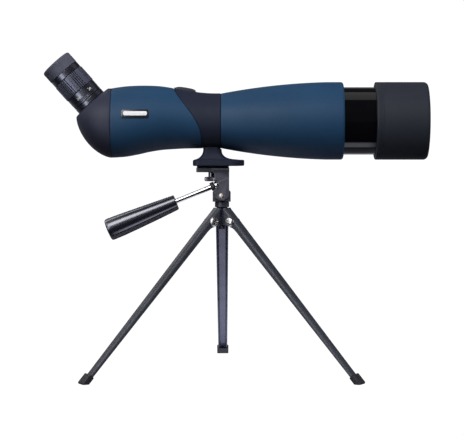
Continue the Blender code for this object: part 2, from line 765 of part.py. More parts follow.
# ---------------------------------------------------------------- tripod head
PIN_X, PIN_Z = -0.4, 174.8             # tilt pin
BOLT_BORE_R = 2.3          # clearance for tilt pin and pan bolt
BOLT_R = 1.95
CHEEK_IN, CHEEK_OUT = 7.3, 10.2        # faces of the fork's cheeks, +-Y
ROD_X, ROD_Z, ROD_ANGLE = -9.0, 184.0, 22.0
ROD_SLEEVE_R = 2.85        # nut and grip bores round the handle rod
PLATFORM_X0, PLATFORM_X1, PLATFORM_HALF = -25.6, 7.3, 9.8
PAD_X0, PAD_X1, PAD_HALF = -25.0, 6.9, 9.4
PLATFORM_CORNER = 1.6      # at the chamfered rims and on the pad

CAMERA_SCREW = (
    (0, 189.3), (6.2, 189.3), (6.8, 189.9), (6.8, 192.8), (6.2, 193.4), (2.75, 193.4),
    (2.75, 197.8), (3.0, 198.2), (3.0, 210.6), (2.4, 211.2), (0, 211.2))

HANDLE_GRIP = (
    (0, 101.0), (ROD_SLEEVE_R, 100.6), (ROD_SLEEVE_R, 39.0), (5.0, 39.0), (5.7, 40.0),
    (6.2, 48.0), (7.4, 72.0), (8.4, 92.0), (8.8, 104.0), (8.8, 109.6), (8.2, 112.4),
    (6.6, 113.9), (0, 114.5))

GRIP_KEEL = (              # depth below the rod's axis, station along it
    (4.0, 41.0), (8.6, 41.0), (9.0, 43.0), (11.6, 84.0), (12.4, 100.0), (12.3, 109.8),
    (11.4, 112.6), (10.0, 113.3), (4.0, 113.5))
KEEL_HALF = 1.7


def rod_frame():
    """Handle rod: local Z runs back and down, local X upwards."""
    a = math.radians(ROD_ANGLE)
    return frame_along((ROD_X, 0, ROD_Z), (-math.cos(a), 0, -math.sin(a)))


def pin_bore():
    return turned_tool(disc(BOLT_BORE_R, -14, 14), across_y(PIN_X, PIN_Z))


def tilt_head(parent):
    """Platform plate over a fork whose two cheeks straddle the pan base."""
    side = [(-10.6, 202.0), (-10.6, 200.4), (-7.8, 197.0), (-7.8, 176.0)]
    side += arc((-0.3, 175.4), 7.5, 198, 18, 9, radius2=6.0)
    side += [(7.2, 176.0), (7.2, 202.0)]
    head = make_object("tilt_head", prism_solid(side, -CHEEK_OUT, CHEEK_OUT, 0.5),
                       "black_armour", parent=parent)

    arch = [(-14.0, 163.0), (-14.0, PIN_Z - 1.0)]
    arch += arc((PIN_X, PIN_Z), 9.2, 180, -15, 13)
    arch += [(14.0, PIN_Z - 1.0), (14.0, 163.0)]
    slot = tool(prism_solid(arch, -CHEEK_IN, CHEEK_IN))
    screw_pocket = tool(box(-30.0, -3.3, CHEEK_IN + 0.01, 188.9, 204.0))
    rod_bore = turned_tool(disc(2.35, -15.6, 8.0), rod_frame())
    cut(head, [slot, screw_pocket, pin_bore(), rod_bore])

    rim = rounded_rect(PLATFORM_X0 + 0.5, PLATFORM_X1 - 0.4, PLATFORM_HALF - 0.5,
                       PLATFORM_CORNER, 3)
    full = rounded_rect(PLATFORM_X0, PLATFORM_X1, PLATFORM_HALF, 1.8, 3)
    plate = tool(level_loft([(198.3, rim), (198.9, full), (202.2, full), (202.7, rim)]))
    cut(head, [plate], "UNION")
    cut(head, [turned_tool(disc(3.45, -8, 8), upright(SCREW_X, 201.0), N_SMALL)])


def platform_pad(parent):
    plan = rounded_rect(PAD_X0, PAD_X1, PAD_HALF, PLATFORM_CORNER, 3)
    pad = make_object("platform_pad", level_loft([(203.0, plan), (204.25, plan)]), "cork",
                      parent=parent)
    cut(pad, [turned_tool(disc(3.6, -5, 5), upright(SCREW_X, 203.5), N_SMALL)])


def camera_screw(parent):
    turned("camera_screw", CAMERA_SCREW, "steel", upright(SCREW_X), parent, N_SMALL)


def tilt_pin(parent):
    """Headed pin across the fork, and its nut on the +Y side."""
    frame = across_y(PIN_X, PIN_Z)
    turned("tilt_pin",
           [(0, -12.0), (1.9, -11.9), (2.7, -11.3), (2.8, -10.55), (BOLT_R, -10.55),
            (BOLT_R, 13.4), (0, 13.4)],
           "steel", frame, parent, N_SCREW)
    turned("tilt_nut", tube(3.7, BOLT_BORE_R, 10.6, 12.9, 0.0), "steel", frame, parent,
           N_HEX)


def pan_base(parent):
    """Round-topped block between the cheeks."""
    half = CHEEK_IN - GAP
    bottom = 168.9
    side = [(-9.05, bottom)] + arc((PIN_X, PIN_Z), 8.65, 180, -18, 11) + [(8.2, bottom)]
    base = make_object("pan_base", prism_solid(side, -half, half, 0.4), "black_armour",
                       parent=parent)
    cut(base, [pin_bore(), turned_tool(disc(BOLT_BORE_R, 160, 171.6), upright())])


def pan_bolt(parent):
    turned("pan_bolt",
           [(0, 141.3), (3.3, 141.3), (3.6, 141.6), (3.6, 143.8), (BOLT_R, 143.8),
            (BOLT_R, 171.3), (0, 171.3)],
           "steel", upright(), parent, N_SCREW)
    turned("pan_washer", tube(3.5, BOLT_BORE_R, 144.1, 144.8, 0.0), "steel", upright(),
           parent, N_SCREW)


def handle_rod(parent):
    turned("handle_rod",
           [(0, -15.0), (1.95, -14.6), (1.95, -0.4), (2.5, 0.0), (2.5, 100.0), (0, 100.0)],
           "steel", rod_frame(), parent, N_SCREW)
    turned("handle_lock_nut",
           [(ROD_SLEEVE_R, 1.5), (4.2, 1.5), (4.4, 1.9), (4.4, 5.2), (4.0, 5.7),
            (ROD_SLEEVE_R, 5.7)],
           "steel", rod_frame(), parent, N_PIVOT)


def handle_grip(parent):
    """Tapered grip with a flat keel along its underside."""
    grip = turned("handle_grip", HANDLE_GRIP, "grip", rod_frame(), parent, N_SMALL)
    keel = loft([[(-depth, y, station) for depth, station in GRIP_KEEL]
                 for y in (-KEEL_HALF, KEEL_HALF)])
    cut(grip, [tool(keel, rod_frame())], "UNION")


# ---------------------------------------------------------------- hub and legs
PIVOT_R, PIVOT_Z = 12.7, 149.2         # leg pivots, from the pan axis
PIVOT_BORE_R = 2.2
LEG_ANGLE = 42.3           # from the vertical
LEG_AZIMUTHS = (("rear", 90.0), ("left", 210.0), ("right", 330.0))
LEG_WALL = 1.0

HUB = (
    (0, 145.2), (3.9, 145.2), (4.1, 145.6), (4.1, 163.4), (6.4, 164.3), (6.4, 167.6),
    (5.8, 168.2), (0, 168.2))

LEG_STATIONS = (           # along the leg, width, outer face, lower edge
    (-14.0, 12.8, 4.9, 2.3), (-12.6, 12.8, 5.2, 1.8), (-8.0, 12.8, 5.2, -1.2),
    (-4.6, 12.8, 5.2, -3.2), (-2.3, 12.8, 5.2, -4.3), (0.6, 12.8, 5.2, -4.7),
    (3.4, 12.7, 5.2, -4.0), (7.0, 12.7, 5.2, -2.2), (12.0, 12.6, 5.2, -1.6),
    (203.7, 9.6, 3.8, -0.2))

# shoe on the leg's end: inner face, outer face, half width
SHOE = (-1.45, 5.25, 6.15)
SHOE_SECTIONS = ((197.5, -0.5), (198.1, 0.0), (209.0, 0.0), (209.7, -0.7))  # along, grow
SHOE_POCKET = (-0.6, 4.25, 5.2)
SHOE_POCKET_ENDS = (191.1, 204.2)

LEG_SCREW = (
    (0, 8.8), (1.4, 8.7), (3.2, 8.2), (4.4, 7.3), (4.5, 6.75), (1.9, 6.75), (1.9, -8.6),
    (0, -8.6))


def tripod_hub(parent):
    """Post with three lugs, bored for the pan bolt and the leg pivots."""
    hub = turned("tripod_hub", HUB, "black_armour", upright(), parent, N_CELL)
    side = [(0.5, 146.0), (3.5, 145.4)]
    side += arc((PIVOT_R, PIVOT_Z), 3.4, -108, 21, 9)
    side += [(4.0, 162.6), (0.5, 162.6)]
    lugs = []
    holes = [turned_tool(disc(BOLT_BORE_R, 140, 175), upright())]
    for _, azimuth in LEG_AZIMUTHS:
        turn = Matrix.Rotation(math.radians(azimuth), 4, "Z")
        lug = prism_solid(side, -4.2, 4.2)
        bmesh.ops.rotate(lug, cent=(0, 0, 0), verts=lug.verts, matrix=turn.to_3x3())
        lugs.append(tool(lug))
        holes.append(turned_tool(disc(PIVOT_BORE_R, -9, 9),
                                 turn @ across_y(PIVOT_R, PIVOT_Z), N_PIVOT))
    cut(hub, lugs, "UNION")
    cut(hub, holes)


def leg_point(along, across, outward):
    """Point in a leg's frame: origin at its pivot, local X away from the pan axis."""
    a = math.radians(LEG_ANGLE)
    return (along * math.sin(a) + outward * math.cos(a), across,
            -along * math.cos(a) + outward * math.sin(a))


def leg_section(width, outer, lower):
    """C-shaped section, open towards the tripod's axis: (across, outward)."""
    def path(width, top, corner):
        points = [(width / 2, lower)]
        points += arc((width / 2 - corner, top - corner), corner, 0, 30, 4)
        return points + [(-across, outward) for across, outward in points[::-1]]

    depth = outer - lower
    corner = min(3.6, depth * 0.9) if depth > 3 else 2.4
    inner = path(width - 2 * LEG_WALL, outer - LEG_WALL, corner - LEG_WALL * 0.9)
    return path(width, outer, corner) + inner[::-1]


def pressed_leg(name, pivot):
    rings = [[leg_point(along, across, outward)
              for across, outward in leg_section(width, outer, lower)]
             for along, width, outer, lower in LEG_STATIONS]
    # each end strip joins the outer skin to the inner one
    leg = make_object("leg_" + name, strip_capped_loft(rings, -1), "leg_paint",
                      parent=pivot)
    cut(leg, [turned_tool(disc(PIVOT_BORE_R, -9, 9), across_y(), N_PIVOT)])
    return leg.data


def shoe_ring(along, inner, outer, half, corner):
    return [leg_point(along, across, outward)
            for outward, across in rounded_rect(inner, outer, half, corner, 2)]


def shoe(name, pivot):
    """Shoe pushed over the end of the leg, cut flat on the floor."""
    inner, outer, half = SHOE
    bm = loft([shoe_ring(along, inner - grow, outer + grow, half + grow, 1.6)
               for along, grow in SHOE_SECTIONS])
    slice_flat(bm, (0, 0, FLOOR_Z - PIVOT_Z), (0, 0, -1))
    foot = make_object("foot_" + name, bm, "rubber", parent=pivot)
    cut(foot, [tool(loft([shoe_ring(along, *SHOE_POCKET, 1.2)
                          for along in SHOE_POCKET_ENDS]))])
    return foot.data


def leg_fastener(name, pivot):
    # the head is on the local +Y side, on the right leg on the -Y side
    frame = across_y(side=-1.0 if name == "right" else 1.0)
    turned("leg_screw_" + name, LEG_SCREW, "steel", frame, pivot, N_SCREW)
    turned("leg_nut_" + name, [(2.25, -6.75), (3.7, -6.75), (3.7, -8.3), (2.25, -8.3)],
           "steel", frame, pivot, N_HEX)


def legs(parent):
    """Three legs; the second and third share the first one's meshes."""
    shared = None
    for name, azimuth in LEG_AZIMUTHS:
        angle = math.radians(azimuth)
        pivot = empty("leg_" + name + "_pivot", parent)
        pivot.location = Vector((PIVOT_R * math.cos(angle), PIVOT_R * math.sin(angle),
                                 PIVOT_Z)) * MM
        pivot.rotation_euler = (0, 0, angle)
        if shared is None:
            shared = (pressed_leg(name, pivot), shoe(name, pivot))
        else:
            link("leg_" + name, shared[0], pivot)
            link("foot_" + name, shared[1], pivot)
        leg_fastener(name, pivot)


# ------------------------------------------------------------------- assemble
def optical_tube(scope):
    """Everything above the platform, with the empties of its moving parts."""
    rear_body_shell(scope)
    neck_saddle(scope)
    foot_insert(scope)
    name_badge(scope)
    prism_housing(scope)
    roof_prism(scope)
    prism_holder(scope)
    prism_clip(scope)

    front_body_shell(scope)
    objective_barrel(scope)
    objective_lenses(scope)
    light_baffle(scope)
    lens_hood(empty("hood_slide", scope))

    eye_end(scope)
    eyepiece_barrel(scope)
    zoom_ring(empty("zoom_turn", scope))
    zoom_cells((empty("zoom_upper_slide", scope), empty("zoom_lower_slide", scope)))

    focus_drive(empty("focus_turn", scope))
    focus_carriage(empty("focus_slide", scope))
    focus_guide_rod(scope)


def tripod_head(pan, tilt):
    tilt_head(tilt)
    platform_pad(tilt)
    tilt_pin(tilt)
    camera_screw(empty("camera_screw_turn", tilt))
    pan_base(pan)
    pan_bolt(pan)
    handle = empty("handle_turn", tilt)
    handle_rod(handle)
    handle_grip(handle)


def build():
    clear_scene()
    root = empty("spotting_scope")
    pan = empty("pan_axis", root)
    tilt = empty("tilt_assembly", pan)
    optical_tube(empty("optical_tube", tilt))
    tripod_head(pan, tilt)
    tripod_hub(root)
    legs(root)
    root.location = Vector((-CENTRE_X, -CENTRE_Y, -FLOOR_Z)) * MM
    bpy.context.view_layer.update()


build()
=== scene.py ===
"""Spotting scope with a slanted eyepiece on a small tripod: surfaces, finishes, light, camera.

Lengths are millimetres in the scope's own frame: +X from the eyepiece (rear) to
the objective (front), +Z up, -Y towards the camera. The tripod's pan axis is at
X = 0, Y = 0 and the floor at FLOOR_Z. BASE carries that frame to the place of
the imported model. Materials, whose texture space is in metres, use metres.
"""

import json
import math

import bmesh
import bpy
from mathutils import Matrix, Vector

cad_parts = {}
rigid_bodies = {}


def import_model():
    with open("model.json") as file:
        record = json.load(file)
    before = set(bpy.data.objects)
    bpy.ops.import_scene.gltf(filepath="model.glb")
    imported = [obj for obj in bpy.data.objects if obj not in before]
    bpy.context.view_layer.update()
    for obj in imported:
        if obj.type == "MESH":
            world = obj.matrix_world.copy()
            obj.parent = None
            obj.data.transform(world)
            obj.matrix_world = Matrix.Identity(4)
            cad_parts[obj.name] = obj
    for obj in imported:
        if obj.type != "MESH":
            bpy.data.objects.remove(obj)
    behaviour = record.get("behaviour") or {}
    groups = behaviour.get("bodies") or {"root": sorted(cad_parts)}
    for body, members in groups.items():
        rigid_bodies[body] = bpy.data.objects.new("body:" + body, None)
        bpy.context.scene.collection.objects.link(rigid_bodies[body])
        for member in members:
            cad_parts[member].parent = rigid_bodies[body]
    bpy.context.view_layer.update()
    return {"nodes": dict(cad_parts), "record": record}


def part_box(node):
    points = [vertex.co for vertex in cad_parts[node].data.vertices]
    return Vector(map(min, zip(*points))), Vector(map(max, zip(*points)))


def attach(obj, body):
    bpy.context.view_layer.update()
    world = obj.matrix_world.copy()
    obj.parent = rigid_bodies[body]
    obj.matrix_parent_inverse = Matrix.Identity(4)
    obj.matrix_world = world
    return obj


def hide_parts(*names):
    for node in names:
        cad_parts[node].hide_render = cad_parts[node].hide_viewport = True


for old in list(bpy.data.objects):
    bpy.data.objects.remove(old, do_unlink=True)

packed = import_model()
BODY_OF = {node: body for body, nodes in packed["record"]["behaviour"]["bodies"].items()
           for node in nodes}

# ------------------------------------------------------------------ dimensions
MILLI = 0.001              # metres in a millimetre
AXIS_Z = 249.3             # optical axis
FLOOR_Z = -3.6
FACETS = 144               # round the big tubes
GAP = 0.35                 # between neighbouring shells
HOOD_X0, HOOD_X1, HOOD_R = 152.3, 204.3, 38.7
BARREL_X0, BARREL_X1, BARREL_R = 98.0, 170.0, 33.65
FRONT_X0, FRONT_X1, FRONT_R = -1.0, 120.6, 38.65
NECK_R = 27.45
# Rear body: X stations, with the top and bottom Z and half width at each.
BODY_X = (-110.0, -96.0, -84.0, -72.0, -60.0, -48.0, -36.0, -24.0, -12.0, 0.0)
BODY_TOP = (281.8, 283.7, 284.4, 284.4, 283.7, 281.8, 279.5, 277.9, 276.9, 276.75)
BODY_BOTTOM = (212.5, 213.5, 215.6, 218.3, 220.2, 221.1, 221.7, 221.85, 221.85, 221.85)
BODY_HALF = (33.5, 33.6, 33.2, 32.2, 31.0, 29.8, 28.6, 27.8, 27.45, 27.45)
REAR_X0, SADDLE_X1, WALL = -109.5, -1.35, 2.3
# Seam between rear shell and saddle: its X at each height.
SEAM_Z = (221.0, 229.3, 237.3, 244.3, 251.8, 259.3, 267.3, 275.3, 282.5)
SEAM_X = (-19.7, -20.0, -21.0, -23.0, -27.0, -32.0, -38.0, -44.0, -48.4)
DOME_X, DOME_LEN, DOME_Z = -109.85, 35.2, 252.3
DOME_DOWN, DOME_UP, DOME_HALF = 39.8, 29.4, 33.5
EYE_X, EYE_Z, EYE_ANGLE = -155.3, 295.3, 48.0
PORT_STATION, EYE_R = 38.3, 16.4
FOCUS_Z = 271.8
FOOT_Z0, FOOT_X0, FOOT_X1, FOOT_HALF = 204.6, -29.0, 22.3, 14.0
SCREW_X = -10.7
PIN_X, PIN_Z = -0.4, 174.8
CHEEK_IN, CHEEK_OUT = 7.3, 10.2
ROD_X, ROD_Z, ROD_ANGLE = -9.0, 184.0, 22.0
PIVOT_R, PIVOT_Z, LEG_ANGLE = 12.7, 149.2, 42.3
LEG_AZIMUTHS = (("rear", 90.0), ("left", 210.0), ("right", 330.0))

hood_low, hood_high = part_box("lens_hood")
BASE = Matrix.Translation((hood_high.x - HOOD_X1 * MILLI, (hood_low.y + hood_high.y) / 2,
                           (hood_low.z + hood_high.z) / 2 - AXIS_Z * MILLI))


# ------------------------------------------------------------------- materials
FINISHES = {}              # material by name


def tint(colour, factor):
    return tuple(channel * factor for channel in colour)


class Nodes:
    """Short calls for the shader nodes of one tree."""

    def __init__(self, tree):
        self.tree = tree

    def feed(self, node, inputs):
        """Set inputs from numbers and colours, or link them from outputs."""
        for key, value in inputs.items():
            if hasattr(value, "is_output"):
                self.tree.links.new(value, node.inputs[key])
            else:
                node.inputs[key].default_value = value

    def node(self, kind, inputs=None, **settings):
        node = self.tree.nodes.new("ShaderNode" + kind)
        for key, value in settings.items():
            setattr(node, key, value)
        self.feed(node, inputs or {})
        return node

    def span(self, value, between, to=(0.0, 1.0)):
        """Smooth step of a value from one range to another."""
        inputs = {"Value": value, "From Min": between[0], "From Max": between[1],
                  "To Min": to[0], "To Max": to[1]}
        return self.node("MapRange", inputs, interpolation_type="SMOOTHSTEP").outputs["Result"]

    def times(self, first, second):
        return self.node("Math", {0: first, 1: second}, operation="MULTIPLY").outputs[0]

    def plus(self, first, second):
        return self.node("Math", {0: first, 1: second}, operation="ADD").outputs[0]

    def split(self, vector):
        return self.node("SeparateXYZ", {0: vector}).outputs

    def camera_switch(self, others, camera):
        """Shader that camera rays see differently from all others."""
        seen = self.node("LightPath").outputs["Is Camera Ray"]
        return self.node("MixShader", {0: seen, 1: others, 2: camera}).outputs[0]


class Surface(Nodes):
    """Principled material textured in object space."""

    def __init__(self, name):
        material = bpy.data.materials.new(name)
        material.use_nodes = True
        super().__init__(material.node_tree)
        self.coord = self.node("TexCoord").outputs["Object"]
        FINISHES[name] = material

    def set(self, **inputs):
        self.feed(self.tree.nodes["Principled BSDF"],
                  {key.replace("_", " "): value for key, value in inputs.items()})

    def noise(self, scale, detail=3.0, rough=0.55, vector=None):
        return self.node("TexNoise", {"Vector": vector or self.coord, "Scale": scale,
                                      "Detail": detail, "Roughness": rough}).outputs[0]

    def stretched_noise(self, scales, detail, rough):
        mapping = self.node("Mapping", {"Vector": self.coord, "Scale": scales})
        return self.noise(1.0, detail, rough, mapping.outputs["Vector"])

    def cells(self, scale):
        node = self.node("TexVoronoi", {"Vector": self.coord, "Scale": scale})
        return node.outputs["Distance"]

    def mix(self, factor, first, second):
        first, second = (colour if hasattr(colour, "is_output") else (*colour, 1.0)
                         for colour in (first, second))
        return self.node("Mix", {0: factor, 6: first, 7: second}, data_type="RGBA").outputs[2]

    def shades(self, colour, mask, dark, light):
        """A colour between two brightness factors."""
        return self.mix(mask, tint(colour, dark), tint(colour, light))

    def bump(self, height, strength, distance, under=None):
        inputs = {"Height": height, "Strength": strength, "Distance": distance}
        if under is not None:
            inputs["Normal"] = under
        return self.node("Bump", inputs).outputs["Normal"]

    def edges(self, between, to=(0.0, 1.0)):
        """Mask of the outer edges."""
        return self.span(self.node("NewGeometry").outputs["Pointiness"], between, to)


def satin_paint(name, colour, rough=0.42, grain=2600.0, depth=0.00003, specular=0.5,
                edge_highlight=0.0):
    """Fine-grained paint; the last argument is the strength of a painted highlight that lightens
    the edges.
    """
    paint = Surface(name)
    broad = paint.span(paint.noise(22), between=(0.3, 0.7))
    base = paint.shades(colour, broad, dark=0.92, light=1.08)
    mottle = paint.noise(420, detail=4, rough=0.6)
    base = paint.mix(paint.span(mottle, between=(0.35, 0.7), to=(0.0, 0.35)),
                     base, tint(colour, 1.22))
    if edge_highlight:
        # painted highlight: the outer edges are lightened towards a pale blue-grey
        lighter_edges = paint.edges(between=(0.505, 0.56), to=(0.0, edge_highlight))
        base = paint.mix(lighter_edges, base, (0.16, 0.165, 0.20))
    waves = paint.bump(paint.noise(520, detail=2), strength=0.10, distance=0.00018)
    paint.set(Base_Color=base, Specular_IOR_Level=specular, Coat_Roughness=0.22,
              Roughness=paint.span(paint.noise(60, detail=4), between=(0.3, 0.7),
                                   to=(rough - 0.035, rough + 0.035)),
              Normal=paint.bump(paint.noise(grain), strength=0.55, distance=depth,
                                under=waves))


def moulded_rubber(name, colour, rough=0.62, pebble=1500.0, depth=0.00007, specular=0.4):
    """Pebbled rubber with a little pale dust."""
    rubber = Surface(name)
    broad = rubber.span(rubber.noise(35, detail=4), between=(0.32, 0.68))
    base = rubber.shades(colour, broad, dark=0.88, light=1.12)
    dust = rubber.span(rubber.noise(160, detail=6, rough=0.7), between=(0.56, 0.8),
                       to=(0.0, 0.22))
    pebbles = rubber.bump(rubber.cells(pebble), strength=0.5, distance=depth)
    rubber.set(Base_Color=rubber.mix(dust, base, tint(colour, 1.9)),
               Specular_IOR_Level=specular,
               Roughness=rubber.span(rubber.noise(90, detail=4), between=(0.3, 0.7),
                                     to=(rough - 0.05, rough + 0.06)),
               Normal=rubber.bump(rubber.noise(pebble * 2.6, detail=2), strength=0.35,
                                  distance=depth * 0.6, under=pebbles))


def gloss(name, colour, rough=0.07, coat=0.6, specular=0.5, ripple=0.05, spread=1.9,
          sheen=(1.0, 1.0, 1.0), shade_reach=0.0, ior=1.5, dust=0.12):
    """Smooth plastic. spread is the highest roughness over the lowest; grooves
    get painted shade, darker colour and weaker specular, within shade_reach millimetres of a
    wall."""
    plastic = Surface(name)
    base = plastic.shades(colour, plastic.noise(50, detail=4), dark=0.85, light=1.2)
    if shade_reach:
        # painted shade: ambient occlusion darkens the colour and weakens the specular in grooves
        near = plastic.node("AmbientOcclusion", {"Distance": shade_reach * MILLI}, samples=8)
        unshaded = plastic.span(near.outputs["AO"], between=(0.35, 0.85))
        base = plastic.mix(unshaded, tint(colour, 0.12), base)
        specular = plastic.times(unshaded, specular)
    speck = plastic.span(plastic.cells(900), between=(0.0, 0.035), to=(1.0, 0.0))
    plastic.set(Base_Color=plastic.mix(plastic.times(speck, dust), base, (0.12, 0.12, 0.13)),
                Specular_IOR_Level=specular, Specular_Tint=(*sheen, 1.0), IOR=ior,
                Coat_Weight=coat, Coat_Roughness=rough * 0.6,
                Roughness=plastic.span(plastic.noise(140, detail=5), between=(0.35, 0.75),
                                       to=(rough, rough * spread)),
                Normal=plastic.bump(plastic.noise(240, detail=2), strength=ripple,
                                    distance=0.0003))


def turned_metal(name, colour, rough, fine=3600, strength=0.08):
    """Metal with the fine rings a lathe leaves, stacked along local Z."""
    metal = Surface(name)
    rings = metal.stretched_noise((60, 60, fine), detail=2, rough=0.5)
    smear = metal.span(metal.noise(300, detail=5, rough=0.6), between=(0.35, 0.7))
    metal.set(Base_Color=metal.shades(colour, smear, dark=0.9, light=1.0), Metallic=1.0,
              Roughness=metal.span(rings, between=(0.3, 0.7), to=(rough * 0.75, rough * 1.35)),
              Normal=metal.bump(rings, strength=strength, distance=0.00004))


def lacquered_steel(name, colour, metallic, rough, coat):
    """Black lacquer over pressed steel: orange peel, scratches, rubbed edges."""
    steel = Surface(name)
    broad = steel.span(steel.noise(45, detail=4), between=(0.3, 0.7))
    base = steel.shades(colour, broad, dark=0.85, light=1.18)
    patchy = steel.span(steel.noise(900, detail=4), between=(0.42, 0.62))
    lighter_edges = steel.times(steel.edges(between=(0.52, 0.6)), patchy)
    base = steel.mix(steel.times(lighter_edges, 0.35), base, (0.22, 0.22, 0.23))
    scratch = steel.span(steel.stretched_noise((900, 900, 40), detail=3, rough=0.6),
                         between=(0.62, 0.72))
    peel = steel.bump(steel.noise(700, detail=2), strength=0.16, distance=0.0001)
    steel.set(Base_Color=steel.mix(steel.times(scratch, 0.10), base, (0.2, 0.2, 0.21)),
              Metallic=metallic, Coat_Weight=coat, Coat_Roughness=0.14,
              Roughness=steel.span(steel.noise(200, detail=4), between=(0.3, 0.7),
                                   to=(rough - 0.05, rough + 0.06)),
              Normal=steel.bump(steel.noise(3200, detail=2), strength=0.25,
                                distance=0.00002, under=peel))


def coated_glass(name, colour, film):
    """Clear glass; film is the coating's thickness in nanometres."""
    glass = Surface(name)
    glass.set(Base_Color=glass.shades(colour, glass.noise(30), dark=0.97, light=1.0),
              Roughness=glass.span(glass.noise(140, detail=4), between=(0.55, 0.8),
                                   to=(0.0, 0.02)),
              Transmission_Weight=1.0, IOR=1.52, Thin_Film_Thickness=film,
              Thin_Film_IOR=1.38)


def cloth_felt(name, colour):
    felt = Surface(name)
    fibres = felt.noise(1800, detail=5, rough=0.7)
    felt.set(Base_Color=felt.shades(colour, fibres, dark=0.6, light=1.5),
             Roughness=0.95, Specular_IOR_Level=0.1, Sheen_Weight=0.12,
             Normal=felt.bump(felt.noise(4200, detail=4, rough=0.7), strength=0.9,
                              distance=0.0002))


def threaded_brass(name, pitch=0.00127):
    brass = Surface(name)
    thread = brass.node("TexWave", {"Vector": brass.coord, "Scale": 1.0 / pitch / 6.2832},
                        bands_direction="Z").outputs["Fac"]
    brass.set(Base_Color=brass.mix(brass.noise(120, detail=5), (0.62, 0.43, 0.17),
                                   (0.76, 0.57, 0.26)),
              Metallic=1.0,
              Roughness=brass.span(brass.noise(260, detail=4), between=(0.3, 0.7),
                                   to=(0.2, 0.36)),
              Normal=brass.bump(thread, strength=0.5, distance=0.0003))


def materials():
    satin_paint("scope_blue", (0.0125, 0.0510, 0.1160), rough=0.54, grain=3000,
                depth=0.000018, specular=0.30)
    satin_paint("scope_armour", (0.0130, 0.0165, 0.0345), rough=0.58, grain=2100,
                depth=0.00004, specular=0.27)
    satin_paint("housing_black", (0.0255, 0.0290, 0.0550), rough=0.56, grain=2100,
                depth=0.00004, specular=0.36)
    # head_black gets the painted highlight along its edges
    satin_paint("head_black", (0.0170, 0.0180, 0.0320), grain=1500, depth=0.00006,
                edge_highlight=0.55)
    satin_paint("hood_black", (0.0200, 0.0232, 0.0340), rough=0.60, depth=0.00002,
                specular=0.31)
    gloss("gloss_black", (0.0020, 0.0020, 0.0032))
    gloss("eyepiece_gloss", (0.0050, 0.0055, 0.0120), rough=0.30, coat=0.0, specular=1.0,
          ripple=0.01, spread=1.25, sheen=(0.86, 0.88, 1.0), ior=1.75)
    # the grooves between the ribs get painted shade
    gloss("eyepiece_ribs", (0.0560, 0.0590, 0.0900), rough=0.36, coat=0.0, specular=1.0,
          ripple=0.01, spread=1.25, sheen=(0.80, 0.83, 1.0), shade_reach=1.1, ior=1.6)
    satin_paint("dial_print", (0.72, 0.72, 0.66), rough=0.5, grain=3000, depth=0.00001)
    turned_metal("nickel_plate", (0.93, 0.91, 0.88), rough=0.36)
    turned_metal("pin_plate", (0.88, 0.80, 0.74), rough=0.52)
    moulded_rubber("eyecup_rubber", (0.078, 0.082, 0.118))
    moulded_rubber("ring_rubber", (0.030, 0.033, 0.046), rough=0.42, pebble=2600,
                   depth=0.00003, specular=0.5)
    moulded_rubber("shoe_rubber", (0.022, 0.022, 0.027), rough=0.58)
    turned_metal("anodised_black", (0.035, 0.035, 0.042), rough=0.34, strength=0.3)
    turned_metal("bright_steel", (0.80, 0.79, 0.78), rough=0.13, fine=5200, strength=0.12)
    turned_metal("knurled_steel", (0.21, 0.21, 0.235), rough=0.36, strength=0.3)
    threaded_brass("insert_brass")
    coated_glass("objective_glass", (0.90, 0.97, 0.95), film=330.0)
    coated_glass("eye_glass", (0.93, 0.95, 1.0), film=260.0)
    coated_glass("inner_glass", (0.95, 0.98, 0.97), film=300.0)
    lacquered_steel("leg_lacquer", (0.033, 0.036, 0.050), metallic=0.0, rough=0.50, coat=0.08)
    # brighter, more metallic copy of leg_lacquer for the rear leg alone: painted light, since
    # that leg mirrors the floor's glow
    lacquered_steel("leg_lacquer_sheen", (0.100, 0.105, 0.145), metallic=0.45, rough=0.32,
                    coat=0.3)
    gloss("grip_plastic", (0.012, 0.012, 0.020), rough=0.25, coat=0.0, specular=1.0,
          ripple=0.004, spread=1.12, sheen=(0.90, 0.91, 1.0), ior=1.78, dust=0.02)
    cloth_felt("black_felt", (0.012, 0.012, 0.013))
    moulded_rubber("pad_rubber", (0.006, 0.006, 0.007), rough=0.9, pebble=1200,
                   depth=0.0001, specular=0.15)
    gloss("badge_plate", (0.018, 0.020, 0.030), rough=0.16, coat=0.5)
    satin_paint("badge_bar", (0.86, 0.87, 0.90), grain=2400, depth=0.00001)
    satin_paint("inside_black", (0.008, 0.008, 0.009), rough=0.75, grain=1800,
                depth=0.0001, specular=0.2)


# ---------------------------------------------------------- curves and outlines
def curve(xs, ys, x):
    """Smooth cubic curve through a short table of stations."""
    last = len(xs) - 1
    if x <= xs[0]:
        return ys[0]
    if x >= xs[-1]:
        return ys[-1]
    i = max(k for k in range(last) if xs[k] < x)

    def slope(k):
        low, high = max(k - 1, 0), min(k + 1, last)
        return (ys[high] - ys[low]) / (xs[high] - xs[low])

    width = xs[i + 1] - xs[i]
    part = (x - xs[i]) / width
    square, cube = part ** 2, part ** 3
    return ((2 * cube - 3 * square + 1) * ys[i]
            + (cube - 2 * square + part) * slope(i) * width
            + (3 * square - 2 * cube) * ys[i + 1] + (cube - square) * slope(i + 1) * width)


def level(rows, x, column=1):
    """Straight-line value in a table whose first column is the station."""
    if x <= rows[0][0]:
        return rows[0][column]
    for low, high in zip(rows, rows[1:]):
        if x <= high[0]:
            part = (x - low[0]) / (high[0] - low[0])
            return low[column] + (high[column] - low[column]) * part
    return rows[-1][column]


def arc(x, y, radius, start, end, steps, height=None):
    """Points round a centre, angles in degrees; height is the radius along y."""
    angles = [math.radians(start + (end - start) * i / steps) for i in range(steps + 1)]
    return [(x + radius * math.cos(angle), y + (height or radius) * math.sin(angle))
            for angle in angles]


